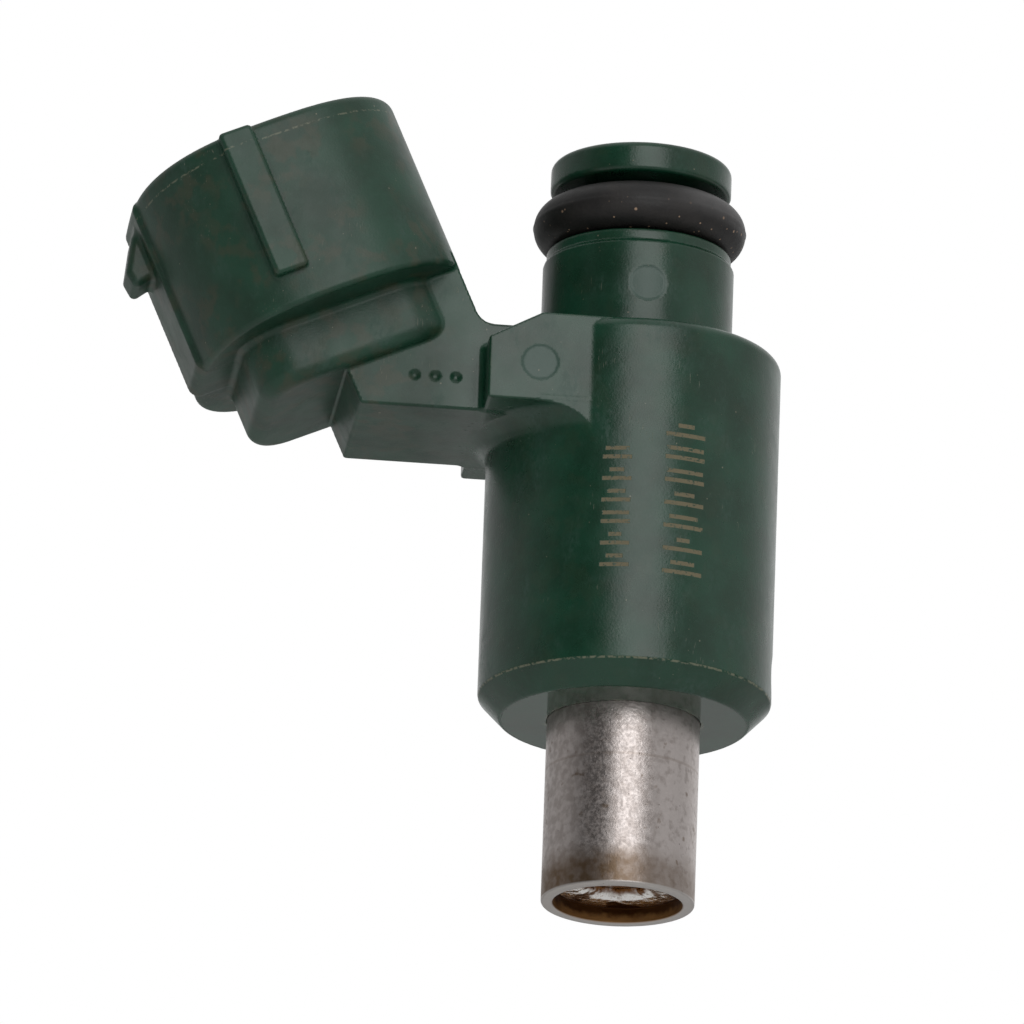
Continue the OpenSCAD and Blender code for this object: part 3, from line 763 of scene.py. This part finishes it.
def wire_along(tree, given, curve, radius, height, sides, caps=False):
    """Sweeps a round section along a curve and lifts it; radius and height name inputs."""
    new = tree.nodes.new
    link = tree.links.new
    section = new("GeometryNodeCurvePrimitiveCircle")
    section.inputs["Resolution"].default_value = sides
    sweep = new("GeometryNodeCurveToMesh")
    sweep.inputs["Fill Caps"].default_value = caps
    up = new("ShaderNodeCombineXYZ")
    lift = new("GeometryNodeTransform")
    link(given.outputs[radius], section.inputs["Radius"])
    link(curve, sweep.inputs["Curve"])
    link(section.outputs[0], sweep.inputs["Profile Curve"])
    link(given.outputs[height], up.inputs["Z"])
    link(up.outputs[0], lift.inputs["Translation"])
    link(sweep.outputs[0], lift.inputs["Geometry"])
    return lift.outputs[0]


def hand_on(tree, shape, out):
    """Makes the shape real, with a material slot, and gives it to the output."""
    real = tree.nodes.new("GeometryNodeRealizeInstances")
    finish = tree.nodes.new("GeometryNodeSetMaterial")
    tree.links.new(shape, real.inputs[0])
    tree.links.new(real.outputs[0], finish.inputs["Geometry"])
    tree.links.new(finish.outputs[0], out.inputs[0])


def grown(piece, tree, sizes, material_name):
    """Runs a tree on a piece and returns the result as a plain mesh object."""
    tree_material = next(n for n in tree.nodes if n.bl_idname == "GeometryNodeSetMaterial")
    tree_material.inputs["Material"].default_value = bpy.data.materials.new(material_name)
    maker = piece.modifiers.new("maker", "NODES")
    maker.node_group = tree
    for item in tree.interface.items_tree:
        if item.in_out == "INPUT" and item.name in sizes:
            maker[item.identifier] = sizes[item.name]
    mesh = applied(piece)
    mesh.polygons.foreach_set("use_smooth", [True] * len(mesh.polygons))
    mesh.materials.clear()
    print(piece.name, "grown to", len(mesh.polygons), "faces")
    return piece


print("helpers for wire ready")

# %% [markdown]
# The coil's outermost layer is wound turn by turn, each turn beside the next. The
# layers under it can't be seen, so they are one solid ring, joined to the wire.

# %% Copper winding
WIRE_R, CORE_R, CHEEK = 0.12, 4.2, 0.02
winding_low, winding_high = span("coil_winding")
wound_h = winding_high[2] - winding_low[2] - 2 * WIRE_R
layers_r = winding_high[0] - 1.6 * WIRE_R
layers_low, layers_high = winding_low[2] + CHEEK, winding_high[2] - CHEEK


def winding_tree():
    sizes = {"Turns": 10.0, "Coil Radius": 1.0, "Height": 1.0, "Wire Radius": 0.1, "Foot": 0.0}
    tree, given, out = new_tree("wind_wire", sizes)
    spiral = tree.nodes.new("GeometryNodeCurveSpiral")
    spiral.inputs["Resolution"].default_value = 48
    for size, place in (("Turns", "Rotations"), ("Coil Radius", "Start Radius"),
                        ("Coil Radius", "End Radius"), ("Height", "Height")):
        tree.links.new(given.outputs[size], spiral.inputs[place])
    wire = wire_along(tree, given, spiral.outputs[0], "Wire Radius", "Foot", 6, caps=True)
    both = tree.nodes.new("GeometryNodeJoinGeometry")
    tree.links.new(given.outputs["Geometry"], both.inputs[0])
    tree.links.new(wire, both.inputs[0])
    hand_on(tree, both.outputs[0], out)
    return tree


layers = lathe("winding_turns", [(layers_r, layers_low), (layers_r, layers_high),
                                 (CORE_R, layers_high), (CORE_R, layers_low)])
winding = grown(layers, winding_tree(), {
    "Turns": float(int(wound_h / (2 * WIRE_R))), "Height": wound_h * MM,
    "Coil Radius": (winding_high[0] - WIRE_R - 0.005) * MM, "Wire Radius": WIRE_R * MM,
    "Foot": (winding_low[2] + WIRE_R) * MM}, "wire_blank")
stands_for(winding, "coil_winding")

# %% [markdown]
# The filter is woven gauze bent into a tube. A plain cylinder grid gives the places
# of the threads, and every edge of it becomes a thin round wire.

# %% Filter gauze
gauze_low, gauze_high = span("filter_mesh")
THREAD_R = 0.02


def gauze_tree():
    sizes = {"Threads Round": 36, "Threads Up": 40, "Radius": 1.0, "Height": 1.0,
             "Thread Radius": 0.01, "Middle": 0.0}
    tree, given, out = new_tree("weave_gauze", sizes)
    tube_grid = tree.nodes.new("GeometryNodeMeshCylinder")
    tube_grid.fill_type = "NONE"
    wires = tree.nodes.new("GeometryNodeMeshToCurve")
    for size, place in (("Threads Round", "Vertices"), ("Threads Up", "Side Segments"),
                        ("Radius", "Radius"), ("Height", "Depth")):
        tree.links.new(given.outputs[size], tube_grid.inputs[place])
    tree.links.new(tube_grid.outputs["Mesh"], wires.inputs["Mesh"])
    hand_on(tree, wire_along(tree, given, wires.outputs[0], "Thread Radius", "Middle", 4), out)
    return tree


gauze = grown(new_piece("filter_gauze", np.zeros((0, 3)), []), gauze_tree(), {
    "Radius": (gauze_high[0] - THREAD_R) * MM, "Height": (gauze_high[2] - gauze_low[2] - 2 * THREAD_R) * MM,
    "Thread Radius": THREAD_R * MM, "Middle": (gauze_high[2] + gauze_low[2]) / 2 * MM}, "thread_blank")
stands_for(gauze, "filter_mesh")

# %% [markdown]
# Finishes are written with a small helper, so that each one reads as a recipe. All
# patterns read Object coordinates turned into millimetres, so a noise of size 2 has
# blotches about 2 mm wide on every piece.

# %% Finish helper


class Finish:
    def __init__(self, name, **uniform):
        self.material = bpy.data.materials.new(name)
        self.material.use_nodes = True
        self.tree = self.material.node_tree
        self.shader = self.tree.nodes["Principled BSDF"]
        for socket_name, value in uniform.items():
            self.shader.inputs[socket_name.replace("_", " ")].default_value = value
        place = self.tree.nodes.new("ShaderNodeTexCoord")
        self.mm = self.vector("SCALE", place.outputs["Object"], Scale=1 / MM)
        self.x, self.y, self.z = self.add("ShaderNodeSeparateXYZ", Vector=self.mm).outputs
        self.reach = self.math("SQRT", self.plus(self.math("MULTIPLY", self.x, self.x), self.y, self.y))

    def add(self, kind, **inputs):
        node = self.tree.nodes.new(kind)
        for socket_name, value in inputs.items():
            self.feed(node.inputs[socket_name.replace("_", " ")], value)
        return node

    def feed(self, socket_in, value):
        if isinstance(value, bpy.types.NodeSocket):
            self.tree.links.new(value, socket_in)
        else:
            socket_in.default_value = value

    def math(self, operation, a, b=None):
        node = self.tree.nodes.new("ShaderNodeMath")
        node.operation = operation
        self.feed(node.inputs[0], a)
        if b is not None:
            self.feed(node.inputs[1], b)
        return node.outputs[0]

    def plus(self, a, b, times):
        """a with b added so many times."""
        return self.math("ADD", a, self.math("MULTIPLY", b, times))

    def vector(self, operation, a, b=None, **inputs):
        node = self.tree.nodes.new("ShaderNodeVectorMath")
        node.operation = operation
        self.feed(node.inputs[0], a)
        for socket_name, value in inputs.items():
            self.feed(node.inputs[socket_name], value)
        if b is not None:
            self.feed(node.inputs[1], b)
        return node.outputs["Value" if operation in ("DOT_PRODUCT", "LENGTH") else "Vector"]

    def noise(self, size, detail=2.0, stretch=(1, 1, 1), shift=0.0):
        """Noise with blotches of a size in millimetres, longer along a stretched axis."""
        scaled = self.vector("MULTIPLY", self.mm, tuple(1 / (size * s) for s in stretch))
        moved = self.vector("ADD", scaled, (shift, shift * 0.7, shift * 1.3))
        return self.add("ShaderNodeTexNoise", Vector=moved, Scale=1.0, Detail=detail).outputs[0]

    def rise(self, value, low, high):
        """0 below low, 1 above high; falls instead where high is the lower one."""
        node = self.add("ShaderNodeMapRange", Value=value)
        node.interpolation_type = "SMOOTHSTEP"
        flip = high < low
        node.inputs["From Min"].default_value = min(low, high)
        node.inputs["From Max"].default_value = max(low, high)
        node.inputs["To Min"].default_value = 1.0 if flip else 0.0
        node.inputs["To Max"].default_value = 0.0 if flip else 1.0
        return node.outputs[0]

    def patches(self, low, high, *size, **more):
        """Noise turned into patches: 0 where it is below low, 1 above high."""
        return self.rise(self.noise(*size, **more), low, high)

    def band(self, value, middle, half, soft):
        """1 near a value and 0 away from it."""
        return self.rise(self.math("ABSOLUTE", self.math("SUBTRACT", value, middle)), half + soft, half)

    def all_of(self, *parts):
        total = parts[0]
        for part in parts[1:]:
            total = self.math("MULTIPLY", total, part)
        return total

    def either(self, a, b):
        return self.math("MAXIMUM", a, b)

    def tint(self, share, a, b):
        node = self.tree.nodes.new("ShaderNodeMix")
        node.data_type = "RGBA"
        self.feed(node.inputs[0], share)
        self.feed(node.inputs[6], a if isinstance(a, bpy.types.NodeSocket) else (*a, 1))
        self.feed(node.inputs[7], b if isinstance(b, bpy.types.NodeSocket) else (*b, 1))
        return node.outputs[2]

    def level(self, share, a, b):
        node = self.tree.nodes.new("ShaderNodeMix")
        self.feed(node.inputs[0], share)
        self.feed(node.inputs[2], a)
        self.feed(node.inputs[3], b)
        return node.outputs[0]

    def specks(self, size, width, rarity, shift=0.0):
        """Round dots in a share of the cells of a random pattern."""
        scaled = self.vector("ADD", self.vector("SCALE", self.mm, Scale=1 / size), (shift, shift, shift))
        cells = self.add("ShaderNodeTexVoronoi", Vector=scaled, Scale=1.0)
        pick = self.add("ShaderNodeSeparateColor", Color=cells.outputs["Color"]).outputs[0]
        dot = self.rise(cells.outputs["Distance"], width, width * 0.5)
        return self.all_of(dot, self.rise(pick, rarity, rarity + 0.02))

    def attribute(self, name):
        node = self.tree.nodes.new("ShaderNodeAttribute")
        node.attribute_name = name
        return node.outputs["Fac"]

    def finish(self, colour=None, roughness=None, height=None, depth_mm=0.01):
        if colour is not None:
            self.feed(self.shader.inputs["Base Color"], colour)
        if roughness is not None:
            self.feed(self.shader.inputs["Roughness"], roughness)
        if height is not None:
            bump = self.add("ShaderNodeBump", Height=height, Distance=depth_mm * MM)
            self.tree.links.new(bump.outputs[0], self.shader.inputs["Normal"])
        return self.material


def wear(piece, material):
    """Makes a finish the piece's only material."""
    piece.data.materials.clear()
    piece.data.materials.append(material)


print("finish helper ready")

# %% [markdown]
# Two kinds of marks are in the colour of the body rather than in its skin. A laser
# has left two rows of pale ticks as a plain batch mark, and the ejector pins' discs
# are duller and paler than the skin round them.

# %% Colours and marks of the green
DEEP, FRESH, MOSS = (0.0042, 0.034, 0.016), (0.0072, 0.056, 0.029), (0.016, 0.060, 0.038)
# Below, the third colour is the near-black green of painted shade in corners.
PIN_GREY, CHALK, CORNER_SHADE = (0.038, 0.082, 0.062), (0.22, 0.22, 0.15), (0.008, 0.012, 0.008)
TICK_COLOUR, DUST, FILM = (0.185, 0.15, 0.085), (0.30, 0.27, 0.20), (0.028, 0.072, 0.052)
RUST = (0.046, 0.050, 0.026)
TICK_ROWS = ((-1.54, 0.72, 15.5, 6, 1.15), (1.99, 1.05, 15.3, 7, 1.22))


def laser_ticks(f):
    """Rows of bars that climb the body: where across, half height, foot, count, pitch."""
    compass = f.math("ARCTAN2", f.x, f.math("MULTIPLY", f.y, -1.0))
    across = f.math("MULTIPLY", compass, BODY_R)
    marks = 0.0
    for middle, half, foot, count, pitch in TICK_ROWS:
        climb = f.math("DIVIDE", f.math("SUBTRACT", f.z, foot), pitch)
        inside = f.all_of(f.rise(climb, 0.0, 0.01), f.rise(climb, count, count - 0.01),
                          f.rise(f.y, -5.0, -5.5))
        cell = f.math("FLOOR", climb)
        place = f.math("FRACT", climb)
        draw = f.tree.nodes.new("ShaderNodeTexWhiteNoise")
        draw.noise_dimensions = "1D"
        f.feed(draw.inputs["W"], f.math("ADD", cell, middle))
        short = f.level(draw.outputs["Value"], half * 0.25, half * 0.95)
        off = f.math("ABSOLUTE", f.math("SUBTRACT", across, middle))
        tall_bar = f.all_of(f.band(place, 0.22, 0.075, 0.03), f.rise(off, half + 0.04, half))
        short_bar = f.all_of(f.band(place, 0.62, 0.075, 0.03),
                             f.rise(f.math("SUBTRACT", off, short), 0.04, 0.0))
        marks = f.either(marks, f.all_of(f.either(tall_bar, short_bar), inside))
    return marks


def pin_discs(f):
    """1 on the ejector pins' discs."""
    found = 0.0
    for px, pz, face in PIN_MARKS:
        across, up = f.math("SUBTRACT", f.x, px), f.math("SUBTRACT", f.z, pz)
        off = f.vector("LENGTH", f.add("ShaderNodeCombineXYZ", X=across, Z=up).outputs[0])
        disc_here = f.all_of(f.rise(off, PIN_R, PIN_R - 0.08), f.rise(f.y, 0.5 - face, 0.45 - face))
        found = f.either(found, disc_here)
    return found


print(sum(row[3] for row in TICK_ROWS), "pairs of ticks and", len(PIN_MARKS), "discs")

# %% [markdown]
# Glass-filled plastic is never even. Under the satin skin the green is mottled, the
# glass makes a fine grain, and handling leaves pale rubbed edges, hair scratches
# and dust. Corners are darkened as painted shade. The two values saved on the mesh
# say where edges and corners are.

# %% Moulded green


def moulded_green():
    f = Finish("moulded_green", IOR=1.54)
    base = f.tint(f.patches(0.3, 0.7, 2.6, 4.0), DEEP, FRESH)
    base = f.tint(f.all_of(f.patches(0.5, 0.8, 0.35, 3.0, shift=9), 0.4), base, MOSS)
    film = f.all_of(f.patches(0.50, 0.72, 1.7, 5.0, (1, 1, 1.8), shift=31),
                    f.patches(0.35, 0.65, 0.18, 3.0, (1, 1, 2), shift=14))
    base = f.tint(f.all_of(film, 0.7), base, FILM)
    brown = f.all_of(f.patches(0.47, 0.60, 1.1, 6.0, shift=41), f.patches(0.40, 0.58, 3.0, 2.0, shift=44))
    base = f.tint(f.all_of(brown, f.level(f.rise(f.x, -9.0, -12.0), 0.12, 0.55)), base, RUST)
    discs = pin_discs(f)
    base = f.tint(discs, base, PIN_GREY)
    edge, corner = f.attribute("edge"), f.attribute("corner")
    breakup = f.noise(0.22, 3.0, shift=4)
    rubbed = f.all_of(f.rise(f.plus(edge, breakup, 0.3), 0.55, 0.85),
                      f.patches(0.42, 0.6, 1.4, 2.0, shift=7), 0.4)
    # Pale broken line round the chamfer's top rim: partly mould flash, partly a painted highlight.
    lip = f.all_of(f.band(f.z, SHOULDER + CHAMFER_H, 0.025, 0.05), f.rise(f.reach, 7.2, 7.4),
                   f.rise(breakup, 0.40, 0.56), 0.7)
    along = f.vector("DOT_PRODUCT", f.mm, (-math.sin(LEAN), 0.0, math.cos(LEAN)))
    mouth = MOUTH_Z * math.cos(LEAN) - MOUTH_X * math.sin(LEAN)
    witness = f.all_of(f.band(along, mouth - 0.95, 0.02, 0.05), f.rise(f.x, -12.0, -12.5),
                       f.rise(breakup, 0.45, 0.6), 0.5)
    fine_dust = f.either(f.specks(0.35, 0.09, 0.9, shift=3), f.specks(2.6, 0.035, 0.6, shift=8))
    dust = f.either(f.specks(0.8, 0.07, 0.72), fine_dust)
    scratch = f.all_of(f.patches(0.70, 0.76, 0.05, 1.0, (1, 1, 14), shift=2),
                       f.patches(0.55, 0.7, 2.5, 1.0, shift=12),
                       f.rise(f.z, COLLAR_LOW - 1, COLLAR_LOW - 1.5), 0.4)
    colour = f.tint(f.either(rubbed, f.either(lip, witness)), base, CHALK)
    # Painted shade: corners are darkened towards near-black green, in patches.
    corner_shade = f.all_of(f.rise(corner, 0.15, 0.7), f.patches(0.3, 0.65, 0.8, 2.0), 0.45)
    colour = f.tint(corner_shade, colour, CORNER_SHADE)
    colour = f.tint(f.either(f.all_of(dust, 0.5), scratch), colour, DUST)
    ticks = f.all_of(laser_ticks(f), f.patches(0.28, 0.48, 0.16, 2.0, shift=20))
    colour = f.tint(f.all_of(ticks, 0.85), colour, TICK_COLOUR)
    seat_gloss = f.rise(f.z, SHOULDER + 0.02, SHOULDER)
    rough = f.level(f.noise(1.1, 3.0, shift=5), 0.22, 0.36)
    rough = f.plus(rough, f.rise(f.x, -8.5, -11.5), 0.15)
    rough = f.plus(rough, film, 0.12)
    rough = f.level(f.all_of(discs, 0.5), rough, 0.5)
    rough = f.level(f.all_of(seat_gloss, 0.85), rough, 0.06)
    rough = f.level(ticks, rough, 0.7)
    grain = f.plus(f.noise(0.11, 2.0), f.noise(0.9, 2.0, shift=6), 1.6)
    grain = f.math("MULTIPLY", grain, f.level(seat_gloss, 1.0, 0.15))
    grain = f.plus(grain, f.either(ticks, scratch), -0.8)
    return f.finish(colour, rough, grain, 0.007)


wear(housing, moulded_green())
print("green has", len(housing.data.materials[0].node_tree.nodes), "nodes")

# %% [markdown]
# The tube is ground stainless steel that has sat in hot, oily air: a warm grey with
# faint pits, brown varnish creeping up from the lip, and amber fuel
# varnish inside the bore, which deeper in, by the washer, turns dark brown as painted shade.

# %% Stained steel
BRIGHT, WORN, LIP = (0.54, 0.49, 0.47), (0.40, 0.355, 0.335), (0.62, 0.59, 0.57)
# The third colour on the line below is varnish darkened by painted shade.
VARNISH, AMBER, SHADED_VARNISH = (0.16, 0.105, 0.062), (0.36, 0.19, 0.07), (0.075, 0.030, 0.010)
PIT = (0.12, 0.10, 0.09)


def stained_steel():
    f = Finish("stained_steel", Metallic=1.0)
    clean = f.level(f.rise(f.x, 0.4, 2.4), f.patches(0.38, 0.66, 0.4, 6.0), f.patches(0.30, 0.5, 0.4, 6.0))
    colour = f.tint(clean, WORN, BRIGHT)
    drift = f.plus(f.z, f.noise(1.8, 3.0, shift=3), 1.6)
    low_stain = f.rise(drift, 3.3, 1.7)
    spots = f.all_of(f.patches(0.64, 0.74, 0.7, 3.0, shift=11), 0.65)
    heat_line = f.all_of(f.band(f.z, 6.9, 0.03, 0.08), 0.25)
    streaky = f.level(f.patches(0.35, 0.65, 0.45, 4.0, shift=17), 0.72, 0.97)
    low_share = f.all_of(low_stain, streaky, f.level(f.rise(f.x, -1.5, 2.5), 1.0, 0.6))
    colour = f.tint(f.either(low_share, f.either(spots, heat_line)), colour, VARNISH)
    lip = f.rise(f.z, 0.2, 0.1)
    colour = f.tint(f.all_of(lip, 0.85), colour, LIP)
    inside = f.all_of(f.rise(f.reach, 3.42, 3.36), f.rise(f.z, 0.0, 0.1))
    # Painted shade: deeper in the bore, next to the washer, the varnish turns dark brown.
    bore_shade = f.rise(f.plus(f.z, f.noise(0.7, 3.0, shift=8), 0.7), 0.55, 0.95)
    colour = f.tint(inside, colour, f.tint(bore_shade, AMBER, SHADED_VARNISH))
    pits = f.either(f.specks(0.55, 0.09, 0.75), f.specks(0.3, 0.12, 0.9, shift=5))
    colour = f.tint(f.all_of(pits, 0.55), colour, PIT)
    rough = f.level(f.patches(0.35, 0.65, 0.16, 4.0, shift=2), 0.30, 0.44)
    rough = f.level(f.either(low_stain, inside), rough, 0.42)
    grind = f.plus(f.noise(0.11, 3.0), f.noise(0.03, 1.0, (1, 1, 25)), 0.25)
    grind = f.plus(grind, pits, -0.8)
    return f.finish(colour, rough, grind, 0.0085)


wear(tube, stained_steel())
print("tube finished")

# %% [markdown]
# The washer in the tip is bright pressed steel. Soot has drawn streaks on it that run
# outwards, and towards its hole the fuel has left brown varnish.

# %% Washer
MIRROR, STREAK, TREACLE = (0.97, 0.95, 0.93), (0.16, 0.085, 0.045), (0.16, 0.065, 0.02)


def pressed_steel():
    f = Finish("pressed_steel", Metallic=1.0)
    compass = f.math("ARCTAN2", f.y, f.x)
    turn, outwards = f.math("MULTIPLY", compass, 1.5), f.math("MULTIPLY", f.reach, 0.5)
    polar = f.add("ShaderNodeCombineXYZ", X=turn, Y=outwards).outputs[0]
    rays = f.add("ShaderNodeTexNoise", Vector=polar, Scale=1.0, Detail=4.0).outputs[0]
    colour = f.tint(f.rise(rays, 0.51, 0.57), MIRROR, STREAK)
    centre = f.rise(f.plus(f.reach, f.noise(0.5, 2.0), 0.6), 2.2, 1.8)
    colour = f.tint(centre, colour, TREACLE)
    return f.finish(colour, f.level(rays, 0.08, 0.3), f.noise(0.4, 3.0), 0.09)


wear(washer, pressed_steel())
print("washer finished")

# %% [markdown]
# Rubber is almost black and dull. Its front right, upper half, is lightened grey as a
# painted highlight. The ring's lower side holds grains of rusty dust, because dirt
# gathers there.

# %% Rubber
BLACK, CHARCOAL = (0.0105, 0.0095, 0.0095), (0.021, 0.018, 0.017)
# The lighter grey below is for a painted highlight; the rusty brown is dust.
HIGHLIGHT_GREY, RUSTY = (0.085, 0.083, 0.083), (0.40, 0.27, 0.18)


def seal_rubber():
    f = Finish("seal_rubber", IOR=1.48)
    colour = f.tint(f.patches(0.4, 0.7, 1.5, 3.0), BLACK, CHARCOAL)
    # Painted highlight: a grey patch on the ring's front right, upper half.
    painted_highlight = f.all_of(f.rise(f.x, 0.6, 3.2), f.rise(f.y, 2.0, -1.5), f.rise(f.z, SEAL_Z - 0.7, SEAL_Z + 0.3))
    painted_highlight = f.all_of(painted_highlight, f.level(f.noise(0.7, 3.0, shift=6), 0.5, 1.0))
    colour = f.tint(painted_highlight, colour, HIGHLIGHT_GREY)
    low = f.rise(f.z, SEAL_Z + 0.2, SEAL_Z - 0.6)
    dust = f.all_of(f.either(f.specks(0.6, 0.16, 0.4), f.specks(0.3, 0.2, 0.75, shift=2)), low)
    colour = f.tint(dust, colour, RUSTY)
    rough = f.level(f.noise(0.6, 2.0), 0.42, 0.6)
    return f.finish(colour, rough, f.noise(0.16, 3.0), 0.012)


wear(seal, seal_rubber())
print("rubber has", len(seal.data.materials[0].node_tree.nodes), "nodes")

# %% [markdown]
# The hidden pieces get plain workshop finishes. Metals carry fine turning marks that
# run round the axis, plastics a soft grain, and copper its clear enamel.

# %% Workshop finishes


def turned_metal(name, light, dark, rough, marks=0.05, depth_mm=0.004, **uniform):
    f = Finish(name, Metallic=1.0, **uniform)
    colour = f.tint(f.patches(0.35, 0.65, 1.2, 3.0), dark, light)
    rings = f.noise(marks, 1.0, (40, 40, 1))
    return f.finish(colour, f.level(f.noise(0.6, 2.0), rough - 0.06, rough + 0.08), rings, depth_mm)


def grained_plastic(name, light, dark, rough, **uniform):
    f = Finish(name, **uniform)
    colour = f.tint(f.patches(0.35, 0.65, 0.9, 3.0), dark, light)
    sheen = f.level(f.noise(0.4, 2.0), rough - 0.05, rough + 0.08)
    return f.finish(colour, sheen, f.noise(0.12, 2.0), 0.008)


steel = turned_metal("turned_steel", (0.56, 0.55, 0.53), (0.46, 0.45, 0.43), 0.32)
core_steel = turned_metal("core_steel", (0.44, 0.44, 0.44), (0.34, 0.34, 0.35), 0.36, 0.09)
polished = turned_metal("polished_steel", (0.74, 0.73, 0.71), (0.66, 0.65, 0.63), 0.16, 0.04, 0.002)
brass = turned_metal("filter_brass", (0.66, 0.47, 0.22), (0.55, 0.37, 0.16), 0.3)
tin = turned_metal("tinned_blade", (0.72, 0.69, 0.62), (0.58, 0.55, 0.49), 0.3, 0.06, 0.004)
copper = turned_metal("enamelled_copper", (0.55, 0.20, 0.08), (0.42, 0.14, 0.05), 0.28, 0.3,
                      Coat_Weight=0.6)
bobbin = grained_plastic("bobbin_plastic", (0.030, 0.030, 0.032), (0.018, 0.018, 0.020), 0.45)
nylon = grained_plastic("filter_nylon", (0.66, 0.63, 0.54), (0.55, 0.52, 0.43), 0.4, Subsurface_Weight=0.1)

FINISHES = {
    "filter_ring": brass, "filter_frame": nylon, "adjuster_sleeve": steel, "return_spring": polished,
    "stator_core": core_steel, "nonmagnetic_sleeve": steel, "coil_bobbin": bobbin, "coil_yoke": core_steel,
    "yoke_washer": core_steel, "lead_front": copper, "lead_rear": copper, "terminal_front": tin,
    "terminal_rear": tin, "armature": core_steel, "needle_tube": steel, "valve_ball": polished,
    "guide_disc": steel, "valve_seat": steel, "orifice_plate": polished,
}
for node, finish in FINISHES.items():
    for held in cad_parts[node].material_slots:
        held.material = finish
wear(winding, copper)
wear(gauze, steel)
print(len(FINISHES), "pieces of the model finished")
